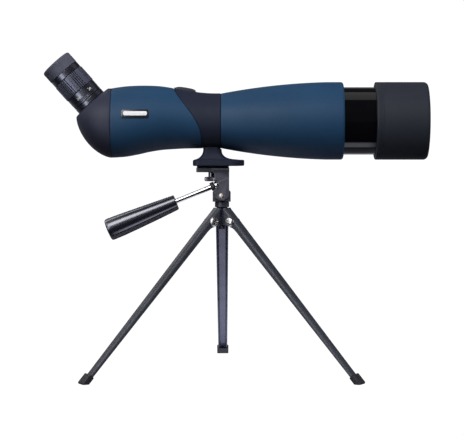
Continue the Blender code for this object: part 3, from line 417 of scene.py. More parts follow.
def rounded(outline, radius, steps=3):
    """Round every real corner of a closed outline, but none on the axis."""
    out = []
    for i, point in enumerate(outline):
        corner = Vector(point)
        before = Vector(outline[i - 1]) - corner
        after = Vector(outline[(i + 1) % len(outline)]) - corner
        if (abs(point[0]) <= 1e-6 or min(before.length, after.length) < 1e-6
                or 180.0 - math.degrees(before.angle(after)) < 16.0):
            out.append(point)
            continue
        reach = min(radius, 0.45 * before.length, 0.45 * after.length)
        start = corner + before.normalized() * reach
        end = corner + after.normalized() * reach
        for j in range(steps + 1):
            part = j / steps
            out.append(tuple(start * (1 - part) ** 2 + corner * (2 * part * (1 - part))
                             + end * (part * part)))
    return out


def inset_outline(points, distance):
    count = len(points)
    pairs = [(points[i], points[(i + 1) % count]) for i in range(count)]
    turn = 1.0 if sum(a[0] * b[1] - b[0] * a[1] for a, b in pairs) > 0 else -1.0
    out = []
    for i in range(count):
        corner = Vector(points[i])
        before = (corner - Vector(points[i - 1])).normalized()
        after = (Vector(points[(i + 1) % count]) - corner).normalized()
        mitre = (Vector((-before.y, before.x)) * turn + Vector((-after.y, after.x)) * turn)
        mitre = mitre / max(mitre.length_squared / 2.0, 0.35)
        out.append(tuple(corner + mitre * distance))
    return out


def rectangle(x0, x1, y0, y1, z):
    return [(x0, y0, z), (x1, y0, z), (x1, y1, z), (x0, y1, z)]


def rounded_rect(x0, x1, half, radius, z, steps=8):
    radius = min(radius, half, (x1 - x0) / 2)
    points = []
    for x, y, start in ((x1 - radius, half - radius, 0), (x0 + radius, half - radius, 90),
                        (x0 + radius, -half + radius, 180), (x1 - radius, -half + radius, 270)):
        points += arc(x, y, radius, start, start + 90, steps)
    return [(x, y, z) for x, y in points]


def rod_outline(radius, start, end, bevel=0.0):
    return [(0, start), (radius - bevel, start), (radius, start + bevel),
            (radius, end - bevel), (radius - bevel, end), (0, end)]


def lens_outline(radius, back, front, back_bulge, front_bulge, steps=20):
    points = [(0, back - back_bulge)]
    for i in range(1, steps + 1):
        part = i / steps
        points.append((radius * part, back - back_bulge * (1 - part * part)))
    for i in range(steps, 0, -1):
        part = i / steps
        points.append((radius * part, front + front_bulge * (1 - part * part)))
    points.append((0, front + front_bulge))
    return points


# ----------------------------------------------------------------------- skins
def loft(rings, loop=False, caps=True):
    """Bmesh skin over rings of points; a ring of one point is a tip."""
    skin = bmesh.new()
    rows = [[skin.verts.new(Vector(point)) for point in ring] for ring in rings]
    pairs = list(zip(rows, rows[1:]))
    if loop:
        pairs.append((rows[-1], rows[0]))
    for low, high in pairs:
        count = max(len(low), len(high))
        for i in range(count):
            j = (i + 1) % count
            if len(low) == 1:
                skin.faces.new((low[0], high[j], high[i]))
            elif len(high) == 1:
                skin.faces.new((low[i], low[j], high[0]))
            else:
                skin.faces.new((low[i], low[j], high[j], high[i]))
    if caps and not loop:
        if len(rows[0]) > 1:
            skin.faces.new(rows[0][::-1])
        if len(rows[-1]) > 1:
            skin.faces.new(rows[-1])
    return skin


def lathe(outline, segments=96, ripple=None):
    """Closed (radius, station) outline spun about Z; ripple(angle, radius, station)
    is added to the radius."""
    poles = [i for i, (radius, _) in enumerate(outline) if radius <= 1e-6]
    if len(poles) == 2 and poles[1] == poles[0] + 1:
        outline = outline[poles[1]:] + outline[:poles[1]]
    rings = []
    for radius, station in outline:
        if radius <= 1e-6:
            rings.append([(0.0, 0.0, station)])
            continue
        ring = []
        for k in range(segments):
            angle = 2 * math.pi * k / segments
            reach = radius + (ripple(angle, radius, station) if ripple else 0.0)
            ring.append((reach * math.cos(angle), reach * math.sin(angle), station))
        rings.append(ring)
    return loft(rings, loop=not poles, caps=False)


def rim_levels(low, high, low_edge, high_edge, steps=3):
    """(inset, station) of the rings of a plate with quarter-round rims."""
    angles = [math.pi / 2 * i / steps for i in range(steps + 1)]
    levels = [(low_edge * (1 - math.sin(angle)), low + low_edge * (1 - math.cos(angle)))
              for angle in angles]
    return levels + [(high_edge * (1 - math.sin(angle)),
                      high - high_edge * (1 - math.cos(angle))) for angle in angles[::-1]]


def slab(points, y0, y1, edge, steps=3, far_edge=None):
    """Outline in X-Z extruded along Y with rounded rims."""
    far_edge = edge if far_edge is None else far_edge
    rings = []
    for inset, y in rim_levels(y0, y1, edge, far_edge, steps):
        ring = inset_outline(points, inset) if inset else points
        rings.append([(x, y, z) for x, z in ring])
    return loft(rings)


def cushion_plate(x0, x1, half, radius, z0, z1, edge):
    """Plate with rounded corners in plan and rounded rims top and bottom."""
    return loft([rounded_rect(x0 + inset, x1 - inset, half - inset, radius - inset * 0.5, z)
                 for inset, z in rim_levels(z0, z1, edge, edge)])


def hexagon(radius, start, end, chamfer=0.45):
    """Nut blank: six flats with a lathe-turned chamfer on both faces."""
    rings = []
    flat = radius * math.cos(math.pi / 6)
    for station, full in ((start, 0.0), (start + chamfer, 1.0), (end - chamfer, 1.0),
                          (end, 0.0)):
        limit = flat + (radius - flat) * (0.15 + 0.85 * full)
        ring = []
        for k in range(72):
            angle = 2 * math.pi * k / 72
            reach = flat / math.cos((angle + math.pi / 6) % (math.pi / 3) - math.pi / 6)
            reach = min(reach, limit)
            ring.append((reach * math.cos(angle), reach * math.sin(angle), station))
        rings.append(ring)
    return loft(rings)


def trim(skin, point, normal):
    """Cut away what lies beyond a plane and close the cut."""
    result = bmesh.ops.bisect_plane(skin, geom=skin.verts[:] + skin.edges[:] + skin.faces[:],
                                    plane_co=point, plane_no=normal, clear_outer=True)
    edges = [e for e in result["geom_cut"] if isinstance(e, bmesh.types.BMEdge)]
    bmesh.ops.contextual_create(skin, geom=edges)


# ---------------------------------------------------------------------- pieces
def frame_along(point, direction):
    """Frame at a point whose local Z runs along a direction."""
    z = Vector(direction).normalized()
    y = Vector((0, 1, 0))
    if abs(z.dot(y)) > 0.99:
        y = Vector((0, 0, 1))
    x = y.cross(z).normalized()
    y = z.cross(x)
    matrix = Matrix((x, y, z)).transposed().to_4x4()
    matrix.translation = Vector(point)
    return matrix


def upright(x=0.0, z=0.0):
    return Matrix.Translation((x, 0, z))


def turn_z(degrees):
    return Matrix.Rotation(math.radians(degrees), 4, "Z")


EYE_AXIS = Vector((math.cos(math.radians(EYE_ANGLE)), 0, -math.sin(math.radians(EYE_ANGLE))))
ROD_AXIS = Vector((-math.cos(math.radians(ROD_ANGLE)), 0, -math.sin(math.radians(ROD_ANGLE))))
OPTICAL_FRAME = frame_along((0, 0, AXIS_Z), (1, 0, 0))
FOCUS_FRAME = frame_along((0, 0, FOCUS_Z), (1, 0, 0))
EYE_FRAME = frame_along((EYE_X, 0, EYE_Z), EYE_AXIS)
ROD_FRAME = frame_along((ROD_X, 0, ROD_Z), ROD_AXIS)
PIN_FRAME = frame_along((PIN_X, 0, PIN_Z), (0, 1, 0))


def raw(name, skin, matrix=None):
    """Bmesh in local millimetres to a placed object without a material."""
    bmesh.ops.remove_doubles(skin, verts=skin.verts, dist=1e-4)
    bmesh.ops.recalc_face_normals(skin, faces=skin.faces)
    bmesh.ops.scale(skin, vec=(MILLI, MILLI, MILLI), verts=skin.verts)
    mesh = bpy.data.meshes.new(name)
    skin.to_mesh(mesh)
    skin.free()
    obj = bpy.data.objects.new(name, mesh)
    bpy.context.scene.collection.objects.link(obj)
    place = (matrix or Matrix.Identity(4)).copy()
    place.translation = place.translation * MILLI
    obj.matrix_world = BASE @ place
    return obj


def bake(obj):
    """Apply every modifier and tidy the mesh."""
    bpy.context.view_layer.update()
    graph = bpy.context.evaluated_depsgraph_get()
    mesh = bpy.data.meshes.new_from_object(obj.evaluated_get(graph))
    unbaked = obj.data
    obj.modifiers.clear()
    obj.data = mesh
    mesh.name = obj.name
    bpy.data.meshes.remove(unbaked)
    skin = bmesh.new()
    skin.from_mesh(mesh)
    bmesh.ops.remove_doubles(skin, verts=skin.verts, dist=2e-6)
    bmesh.ops.dissolve_degenerate(skin, edges=skin.edges, dist=2e-6)
    skin.to_mesh(mesh)
    skin.free()


def cut(target, tools, operation="DIFFERENCE"):
    """Subtract the tools from the target, or join them, and remove them."""
    for tool in tools:
        modifier = target.modifiers.new("cut", "BOOLEAN")
        modifier.operation = operation
        modifier.solver = "EXACT"
        modifier.object = tool
    bake(target)
    for tool in tools:
        bpy.data.objects.remove(tool, do_unlink=True)


def dress(obj, finish, body=None, angle=38.0):
    """Finish a piece. NAME_surface stands for the CAD node NAME; others add detail."""
    node = obj.name.removesuffix("_surface")
    obj.data.materials.clear()
    obj.data.materials.append(FINISHES[finish])
    obj.data.shade_smooth()
    obj.data.set_sharp_from_angle(angle=math.radians(angle))
    modifier = obj.modifiers.new("normals", "WEIGHTED_NORMAL")
    modifier.keep_sharp = True
    modifier.weight = 60
    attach(obj, body or BODY_OF[node])
    if node != obj.name:
        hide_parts(node)


def turned(name, outline, finish, matrix, body=None, segments=96, rounding=0.3,
           ripple=None, angle=38.0):
    outline = rounded(outline, rounding) if rounding else outline
    dress(raw(name, lathe(outline, segments, ripple), matrix), finish, body, angle)


def drill(radius, start, end, matrix, segments=48):
    return raw("tool", lathe(rod_outline(radius, start, end), segments), matrix)


def box_tool(x0, x1, y0, y1, z0, z1, matrix=None):
    return raw("tool", loft([rectangle(x0, x1, y0, y1, z0), rectangle(x0, x1, y0, y1, z1)]),
               matrix)


def nut(name, matrix, radius, bore, start, end, body=None):
    obj = raw(name, hexagon(radius, start, end), matrix)
    cut(obj, [drill(bore, start - 1, end + 1, matrix)])
    dress(obj, "bright_steel", body)


# ------------------------------------------------------------------- rear body
LIP = ((0.0, 0.5), (0.15, 0.15), (0.5, 0.0))     # distance from the end, inset
SEAM_OFFSET = GAP * 0.6


def body_section(x, inset=0.0):
    """Centre height, half height and half width of the oval at x."""
    top = curve(BODY_X, BODY_TOP, x)
    bottom = curve(BODY_X, BODY_BOTTOM, x)
    half = curve(BODY_X, BODY_HALF, x)
    return (top + bottom) / 2, (top - bottom) / 2 - inset, half - inset


def body_point(x, k, inset=0.0):
    middle, height, width = body_section(x, inset)
    angle = 2 * math.pi * k / FACETS
    return Vector((x, width * math.sin(angle), middle + height * math.cos(angle)))


def body_ring(stations, inset=0.0):
    """Oval ring with its own X station at every facet."""
    return [body_point(x, k, inset) for k, x in enumerate(stations)]


def seam_stations(offset):
    """Where the seam, moved by offset along X, meets each facet line."""
    stations = []
    for k in range(FACETS):
        x = -30.0
        for _ in range(40):
            x = 0.5 * x + 0.5 * (curve(SEAM_Z, SEAM_X, body_point(x, k).z) + offset)
        stations.append(x)
    return stations


def body_skin(starts, ends, bays):
    """Outer rings between two seams, with a small lip at each end."""
    rings = [body_ring([x + dx for x in starts], inset) for dx, inset in LIP]
    for i in range(1, bays):
        rings.append(body_ring([start + 0.5 + i / bays * (end - start - 1.0)
                                for start, end in zip(starts, ends)]))
    return rings + [body_ring([x - dx for x in ends], inset) for dx, inset in LIP[::-1]]


def rear_shell():
    ends = seam_stations(-SEAM_OFFSET)
    rings = body_skin([REAR_X0] * FACETS, ends, 40)
    rings += [body_ring([end + part * (REAR_X0 - end) for end in ends], WALL)
              for part in (0.0, 0.25, 0.5, 0.75, 1.0)]
    dress(raw("rear_body_shell_surface", loft(rings, loop=True)), "scope_blue")


def gaskets():
    """Dark seals that close the narrow gaps between the body pieces."""
    rings = [body_ring(seam_stations(offset), inset)
             for offset, inset in ((-0.16, 2.0), (-0.16, 0.32), (0.16, 0.32), (0.16, 2.0))]
    dress(raw("rear_seam_gasket", loft(rings, loop=True)), "pad_rubber", "tilting_head")
    middle = REAR_X0 - 0.17
    rings = [body_ring([middle + offset] * FACETS, inset)
             for offset, inset in ((-0.13, 2.0), (-0.13, 0.35), (0.13, 0.35), (0.13, 2.0))]
    dress(raw("housing_seam_gasket", loft(rings, loop=True)), "pad_rubber", "tilting_head")
    turned("front_seam_gasket",
           [(NECK_R - 2.0, -1.37), (NECK_R - 0.28, -1.37), (NECK_R - 0.28, -0.98),
            (NECK_R - 2.0, -0.98)],
           "pad_rubber", OPTICAL_FRAME, "tilting_head", segments=FACETS, rounding=0)


# ---------------------------------------------------------------------- saddle
# X stations of the low cheeks on the saddle and their rise.
CHEEK_X = (-49.0, -46.0, -40.0, -33.0, -27.5, -24.6)
CHEEK_RISE = (0.5, 1.3, 1.6, 1.5, 1.0, 0.0)
# Top line of the focusing roller as (x, z).
ROLLER_TOP = ((-46.2, 282.4), (-45.4, 283.1), (-41.5, 283.3), (-36.0, 282.6),
              (-30.0, 281.4), (-27.2, 280.4), (-26.2, 279.6))
# Flare between foot and saddle: z, x0, x1, half width.
FLARE = (
    (207.0, -28.2, 18.0, 12.9), (210.4, -27.9, 18.0, 12.9), (210.7, -27.2, 15.2, 12.4),
    (211.1, -25.9, 10.8, 11.9), (211.7, -24.3, 7.4, 11.4), (212.6, -22.9, 4.8, 10.9),
    (213.7, -21.6, 2.9, 10.5), (214.9, -20.6, 1.5, 10.15), (216.3, -19.7, 0.55, 9.85),
    (217.8, -19.1, 0.0, 9.65), (219.4, -18.8, -0.3, 9.6), (221.2, -18.7, -0.45, 9.6),
    (221.35, -18.7, -1.4, 9.6), (228.0, -18.7, -1.4, 9.6))
# Foot plate: z and how far the plan grows there.
FOOT_LEVELS = ((FOOT_Z0, -0.9), (FOOT_Z0 + 0.25, -0.35), (FOOT_Z0 + 0.8, 0.0),
               (209.5, 0.0), (210.1, -0.25), (210.45, -0.9))


def raised(point):
    """Low cheeks on top of the saddle that shelter the focusing roller."""
    across = max(0.0, 1.0 - (point.y / 16.0) ** 2)
    if point.z > AXIS_Z:
        point.z += curve(CHEEK_X, CHEEK_RISE, point.x) * across ** 1.5
    return point


def roller_outline(grow):
    return [(z - FOCUS_Z + grow, x + (grow if i > 3 else -grow) * (0.8 if i in (0, 6) else 0.0))
            for i, (x, z) in enumerate(ROLLER_TOP)]


def foot_plan(z, grow):
    """Foot outline: half round in front, small corners at the rear."""
    half = FOOT_HALF + grow
    x0, x1 = FOOT_X0 - grow, FOOT_X1 + grow
    corner = 6.0
    points = arc(x1 - half, 0.0, half, -90, 90, 20)
    points += arc(x0 + corner, half - corner, corner, 90, 180, 8)
    points += arc(x0 + corner, -half + corner, corner, 180, 270, 8)
    return [(x, y, z) for x, y in points]


def capped(rings):
    """Skin with both ends closed by level strips across the ring."""
    skin = loft(rings, caps=False)
    skin.verts.ensure_lookup_table()
    count = len(rings[0])
    for base, flip in ((0, False), (count * (len(rings) - 1), True)):
        ring = [skin.verts[base + i] for i in range(count)]
        for i in range(count // 2):
            face = []
            for vert in (ring[-i % count], ring[-(i + 1) % count], ring[i + 1], ring[i]):
                if vert not in face:
                    face.append(vert)
            skin.faces.new(face[::-1] if flip else face)
    return skin


def saddle():
    rings = body_skin(seam_stations(SEAM_OFFSET), [SADDLE_X1] * FACETS, 44)
    obj = raw("neck_saddle_surface", capped([[raised(point) for point in ring]
                                             for ring in rings]))
    plate = raw("tool", loft([foot_plan(z, grow) for z, grow in FOOT_LEVELS]))
    flare = raw("tool", loft([rounded_rect(x0, x1, half, 4.2, z)
                              for z, x0, x1, half in FLARE]))
    cut(obj, [plate, flare], "UNION")
    bore_x = (-62.0, -54.0, -48.0, -42.0, -36.0, -30.0, -24.0, -18.0, -12.0, -6.0, 3.0)
    bore = raw("tool", loft([body_ring([x] * FACETS, WALL) for x in bore_x]))
    outline = roller_outline(0.5)
    roller = raw("tool", lathe([(0, outline[0][1])] + outline + [(0, outline[-1][1])]),
                 FOCUS_FRAME)
    cut(obj, [bore, roller, drill(4.95, -5, 8.4, upright(SCREW_X, FOOT_Z0))])
    dress(obj, "scope_armour", angle=32)


def focus_drive():
    def ribs(angle, radius, station):
        if radius < 7.0:
            return 0.0
        turn = (angle * 46 / (2 * math.pi)) % 1.0
        return -0.42 * (1 - abs(math.cos(math.pi * turn)) ** 0.7)

    outline = roller_outline(0.0)
    dense = []
    for (r0, s0), (r1, s1) in zip(outline, outline[1:]):
        dense += [(r0 + (r1 - r0) * i / 3, s0 + (s1 - s0) * i / 3) for i in range(3)]
    dense.append(outline[-1])
    turned("focus_knob_surface", [(2.0, outline[0][1])] + dense + [(2.0, outline[-1][1])],
           "ring_rubber", FOCUS_FRAME, segments=46 * 12, rounding=0, ripple=ribs, angle=50)


# --------------------------------------------------------------- prism housing
DOME_PIVOT = Vector((DOME_X, 0, 249.4))


def dome_ring(depth):
    """Dome section at a depth from 0 (open front end) to 1 (rear tip)."""
    drop = DOME_DOWN * (1 - depth ** 1.65) ** (1 / 1.65)
    rise = DOME_UP * (1 - depth ** 1.74) ** (1 / 1.74)
    half = DOME_HALF * (1 - depth ** 2.15) ** (1 / 2.15)
    centre = (1 - depth) * ((BODY_TOP[0] + BODY_BOTTOM[0]) / 2) + depth * DOME_Z
    up, down = DOME_Z + rise - centre, centre - (DOME_Z - drop)
    ring = []
    for k in range(FACETS):
        angle = 2 * math.pi * k / FACETS
        cosine = math.cos(angle)
        ring.append(Vector((DOME_X - DOME_LEN * depth, half * math.sin(angle),
                            centre + (up if cosine > 0 else down) * cosine)))
    return ring


def dome(scale, extend=0.0, lip=False):
    """Dome scaled about its pivot, carried forward by extend, or with a lip."""
    def moved(x, depth, factor):
        return [Vector((x, point.y * factor,
                        (point.z - DOME_PIVOT.z) * factor + DOME_PIVOT.z))
                for point in dome_ring(depth)]

    rings = [moved(DOME_X + extend, 0.0, scale)] if extend else []
    depths = [math.sin(math.pi / 2 * i / 46) for i in range(46)]
    if lip:
        depths = depths[2:]
        rings += [moved(DOME_X - dx, dx / DOME_LEN, 1 - inset / 34.0) for dx, inset in LIP]
    tip = Vector((DOME_X - DOME_LEN, 0, DOME_Z))
    for ring in [dome_ring(depth) for depth in depths] + [[tip]]:
        rings.append([(point - DOME_PIVOT) * scale + DOME_PIVOT for point in ring])
    return loft(rings)


def slice_by_port(skin, station, steps=()):
    """Cut the skin flat across the eyepiece axis; steps inset and raise the face."""
    trim(skin, Vector((EYE_X, 0, EYE_Z)) + EYE_AXIS * station, -EYE_AXIS)
    bmesh.ops.recalc_face_normals(skin, faces=skin.faces)
    face = max(skin.faces, key=lambda f: len(f.verts))
    for inset, rise in steps:
        ring = [vert.co.copy() for vert in face.verts]
        middle = sum(ring, Vector()) / len(ring)
        bmesh.ops.inset_individual(skin, faces=[face], thickness=0.0, depth=0.0)
        for vert in face.verts:
            outward = (vert.co - middle).normalized()
            vert.co += -outward * inset - EYE_AXIS * rise
    return skin


def prism_housing():
    skin = slice_by_port(dome(1.0, lip=True), PORT_STATION + 0.75,
                         ((0.18, 0.36), (0.30, 0.25), (0.45, 0.14)))
    obj = raw("prism_housing_surface", skin)
    shade_reach = raw("tool", slice_by_port(dome(0.925, extend=6.0), PORT_STATION + 2.6))
    cut(obj, [shade_reach, drill(12.7, 30.0, 52.0, EYE_FRAME, 96)])
    dress(obj, "housing_black", angle=32)


# -------------------------------------------------------- front body and optics
def front_shell():
    def radius(x):
        x = min(x, 104.0)
        return NECK_R + 0.1906 * x - 0.000797 * x * x

    lip = FRONT_R
    seat = BARREL_R + GAP
    outline = [(radius(FRONT_X0) - 0.5, FRONT_X0), (radius(-0.85) - 0.15, -0.85),
               (radius(-0.5), -0.5)]
    outline += [(radius(2.0 * i), 2.0 * i) for i in range(1, 53)]
    outline += [(lip, 106.0), (lip, 112.0), (lip, 118.4), (lip - 0.12, 119.1),
                (lip - 0.45, 119.75), (lip - 1.0, 120.25), (lip - 1.7, 120.52),
                (lip - 2.6, FRONT_X1), (seat + 0.3, FRONT_X1), (seat, FRONT_X1 - 0.3),
                (seat, 97.0), (35.2, 94.0)]
    outline += [(radius(x) - WALL, x) for x in (80.0, 66.0, 52.0, 38.0, 24.0, 10.0, FRONT_X0)]
    turned("front_body_shell_surface", outline, "scope_blue", OPTICAL_FRAME, segments=FACETS,
           rounding=0)


def objective():
    """Barrel with its seal, the two lenses and the ring that retains them."""
    tube = BARREL_R
    # name, (radius, station) outline, finish, corner rounding
    for name, outline, finish, rounding in (
            ("objective_barrel",
             [(tube - 0.4, BARREL_X0), (tube, 98.4), (tube, 108.0), (tube - 0.9, 108.2),
              (tube - 0.9, 110.6), (tube, 110.8), (tube, 140.0), (tube, 169.3),
              (tube - 0.7, BARREL_X1), (31.4, BARREL_X1), (30.75, 169.4), (30.7, 151.6),
              (28.6, 151.4), (28.6, 148.6), (31.4, 146.5), (31.4, BARREL_X0)],
             "gloss_black", 0.35),
            ("barrel_o_ring",
             [(tube - 0.55, 108.6), (tube - 0.1, 108.75), (tube + 0.08, 109.4),
              (tube - 0.1, 110.05), (tube - 0.55, 110.2)],
             "shoe_rubber", 0.1),
            ("objective_flint_lens", lens_outline(30.2, 152.2, 157.6, -1.0, -2.6),
             "inner_glass", 0),
            ("objective_crown_lens", lens_outline(30.2, 158.2, 165.2, 2.5, 2.6),
             "objective_glass", 0),
            ("objective_retaining_ring",
             [(30.2, 166.0), (30.2, 168.8), (29.9, 168.8), (29.5, 168.3), (29.0, 168.3),
              (28.6, 167.4), (28.3, 167.2), (28.3, 166.0)],
             "anodised_black", 0.15)):
        turned(name + "_surface", outline, finish, OPTICAL_FRAME, segments=FACETS,
               rounding=rounding)


def lens_hood():
    hood, seat = HOOD_R, BARREL_R + GAP
    outline = [(seat, HOOD_X0), (seat + 1.2, HOOD_X0), (hood - 1.15, HOOD_X0),
               (hood - 0.45, HOOD_X0 + 0.2), (hood - 0.1, HOOD_X0 + 0.7), (hood, HOOD_X0 + 1.3)]
    for x in (155.4, 157.2, 159.0):        # fine turned lines round the rear rim
        outline += [(hood, x - 0.35), (hood - 0.22, x - 0.12), (hood - 0.22, x + 0.12),
                    (hood, x + 0.35)]
    outline += [(hood, 170.0), (hood, 186.0), (hood, 200.6), (hood - 0.12, 201.6),
                (hood - 0.5, 202.7), (hood - 1.05, 203.5), (hood - 1.6, 204.05),
                (hood - 2.0, HOOD_X1), (36.6, HOOD_X1 - 0.15), (36.45, 203.6), (36.5, 202.4)]
    for i in range(22):                    # glare-stop grooves inside
        x = 201.6 - 1.7 * i
        outline += [(36.5, x), (36.95, x - 0.25), (36.95, x - 0.6), (36.5, x - 0.85)]
    outline += [(36.5, 156.2), (seat, 155.8)]
    turned("lens_hood_surface", outline, "hood_black", OPTICAL_FRAME, segments=FACETS,
           rounding=0)


def flank_sheet(x0, x1, z0, z1, sunk, proud, columns, rows, edge, corner=1.6):
    """Thin plate on the near flank, from sunk to proud of the body skin."""
    rings = []
    for i in range(columns + 1):
        x = x0 + (x1 - x0) * i / columns
        end = min(x - x0, x1 - x)
        trimmed = 0.0
        if end < corner:
            trimmed = corner - math.sqrt(max(0.0, corner * corner - (corner - end) ** 2))
        middle, height, width = body_section(x)
        outer, inner = [], []
        for j in range(rows + 1):
            z = z0 + trimmed + (z1 - z0 - 2 * trimmed) * j / rows
            y = width * math.sqrt(1 - ((z - middle) / height) ** 2)
            rim = min(end, z - z0 - trimmed, z1 - trimmed - z)
            drop = edge * (1 - min(1.0, max(0.0, rim) / edge)) ** 2
            outer.append((x, -(y + proud - drop * 0.6), z))
            inner.append((x, -(y + sunk), z))
        rings.append(outer + inner[::-1])
    return loft(rings)


def name_badge():
    """Blank plate with a plain bar, following the rear shell's flank."""
    plate = flank_sheet(-98.7, -71.7, 252.0, 260.7, sunk=0.25, proud=0.62, columns=68,
                        rows=22, edge=0.35)
    dress(raw("name_badge_surface", plate), "badge_plate", angle=50)
    bar = flank_sheet(-96.8, -73.4, 254.7, 258.9, sunk=0.5, proud=0.85, columns=80,
                      rows=12, edge=0.3)
    dress(raw("name_badge_bar", bar), "badge_bar", "tilting_head", angle=50)


# -------------------------------------------------------------------- eyepiece
PAD_PITCH, PAD_PHASE = 45.0, 23.7          # degrees round the zoom ring
RIB_PITCH, RIBS_HALF = 7.0, 11.4           # three ribs and half their sector, degrees
GROOVE = 0.85                              # depth of the relief


def rib_depth(degrees):
    """Depth of the zoom ring's relief: wide pads with three flat ribs between them."""
    turn = (degrees + PAD_PHASE + PAD_PITCH / 2) % PAD_PITCH - PAD_PITCH / 2
    away = abs(turn)
    if away < RIBS_HALF:
        off_rib = abs((turn / RIB_PITCH + 0.5) % 1.0 - 0.5) * RIB_PITCH
        if away > 9.6:
            return GROOVE
        if off_rib < 2.1:
            return 0.06
        return min(GROOVE, 0.06 + (off_rib - 2.1) / 0.5 * 0.79)
    edge = min(away - RIBS_HALF, PAD_PITCH / 2 - away + 0.6)
    return 0.0 if edge > 0.9 else GROOVE * (1 - max(edge, 0.0) / 0.9) ** 1.5


def eyepiece():
    rim = EYE_R
    # name, (radius, station) outline, finish, segments, corner rounding
    for name, outline, finish, segments, rounding in (
            ("eyecup",
             [(12.6, -15.0), (13.3, -15.8), (14.6, -15.9), (15.7, -15.55), (16.35, -14.8),
              (16.6, -13.9), (16.45, -13.6), (16.6, -13.3), (16.6, -11.2), (16.42, -10.9),
              (16.6, -10.6), (16.6, -9.0), (16.6, -3.55), (16.35, -3.2), (14.35, -3.2),
              (14.35, -9.9), (12.4, -10.3), (12.4, -12.6)],
             "eyecup_rubber", FACETS, 0.35),
            ("eyecup_base_ring",
             [(14.0, -2.9), (rim, -2.9), (rim, 2.9), (12.65, 2.9), (12.65, 0.6), (9.2, 0.6),
              (9.2, -0.8), (10.8, -0.8), (10.8, -9.5), (14.0, -9.5)],
             "eyepiece_gloss", FACETS, 0.25),
            ("eye_lens", lens_outline(10.4, -5.4, -1.2, 1.1, 0.0), "eye_glass", 96, 0),
            ("eye_lens_retainer", [(10.45, -8.8), (10.45, -5.9), (9.0, -5.9), (8.6, -8.8)],
             "anodised_black", 96, 0.2),
            ("eyepiece_barrel",
             [(12.25, 1.0), (12.25, 21.7), (rim, 21.7), (rim, 25.0), (rim, 28.9),
              (rim - 0.45, 29.3), (rim, 29.7), (rim, 30.5), (rim - 0.45, 30.9), (rim, 31.3),
              (rim, 32.3), (12.25, 32.3), (12.25, 42.8), (11.3, 42.8), (11.3, 1.0)],
             "eyepiece_gloss", FACETS, 0.18),
            ("eyepiece_collar",
             [(rim - 0.45, 32.65), (rim, 33.1), (rim, 37.5), (rim - 0.45, 37.95),
              (12.65, 37.95), (12.65, 32.65)],
             "eyepiece_gloss", FACETS, 0.3)):
        turned(name + "_surface", outline, finish, EYE_FRAME, segments=segments,
               rounding=rounding)

    def relief(angle, radius, station):
        if radius < 16.0 or station < 3.4 or station > 21.2:
            return 0.0
        return -rib_depth(270.0 - math.degrees(angle))

    ring = rim + 0.45
    turned("zoom_ring_surface",
           [(ring - 0.85, 3.25), (ring - 0.25, 3.5), (ring, 3.95), (ring, 9.0), (ring, 15.0),
            (ring, 20.65), (ring - 0.25, 21.1), (ring - 0.85, 21.35), (14.3, 21.35),
            (14.3, 3.25)],
           "eyepiece_ribs", EYE_FRAME, segments=960, rounding=0, ripple=relief, angle=40)


def zoom_numbers():
    """Magnification scale printed round the barrel below the zoom ring."""
    skin = bmesh.new()
    for k, value in enumerate((20, 30, 40, 50, 60)):
        text = bpy.data.curves.new("dial", "FONT")
        text.body = str(value)
        text.size = 3.9
        text.extrude = 0.1
        text.resolution_u = 3
        text.align_x = "CENTER"
        text.align_y = "CENTER"
        obj = bpy.data.objects.new("dial", text)
        bpy.context.scene.collection.objects.link(obj)
        bpy.context.view_layer.update()
        graph = bpy.context.evaluated_depsgraph_get()
        mesh = bpy.data.meshes.new_from_object(obj.evaluated_get(graph))
        first = len(skin.verts)
        skin.from_mesh(mesh)
        skin.verts.ensure_lookup_table()
        turn = 32.0 - 54.0 * k
        for vert in skin.verts[first:]:    # wrap the flat digits round the barrel
            angle = math.radians(270.0 - turn) - vert.co.x / EYE_R
            radius = EYE_R + 0.02 + vert.co.z
            vert.co = Vector((radius * math.cos(angle), radius * math.sin(angle),
                              26.9 - vert.co.y))
        bpy.data.objects.remove(obj)
        bpy.data.curves.remove(text)
        bpy.data.meshes.remove(mesh)
    dress(raw("zoom_scale_numbers", skin, EYE_FRAME), "dial_print",
          BODY_OF["eyepiece_barrel"], angle=30)


# ---------------------------------------------------------------- tripod head
def cheek_panel(outline, proud, sunk, edge, side):
    """Raised panel on a cheek's outer face: side -1 near the camera, +1 far."""
    skin = slab(outline, -CHEEK_OUT - proud, -CHEEK_OUT + sunk, edge, far_edge=0.0)
    if side > 0:
        bmesh.ops.scale(skin, vec=(1, -1, 1), verts=skin.verts)
    return skin


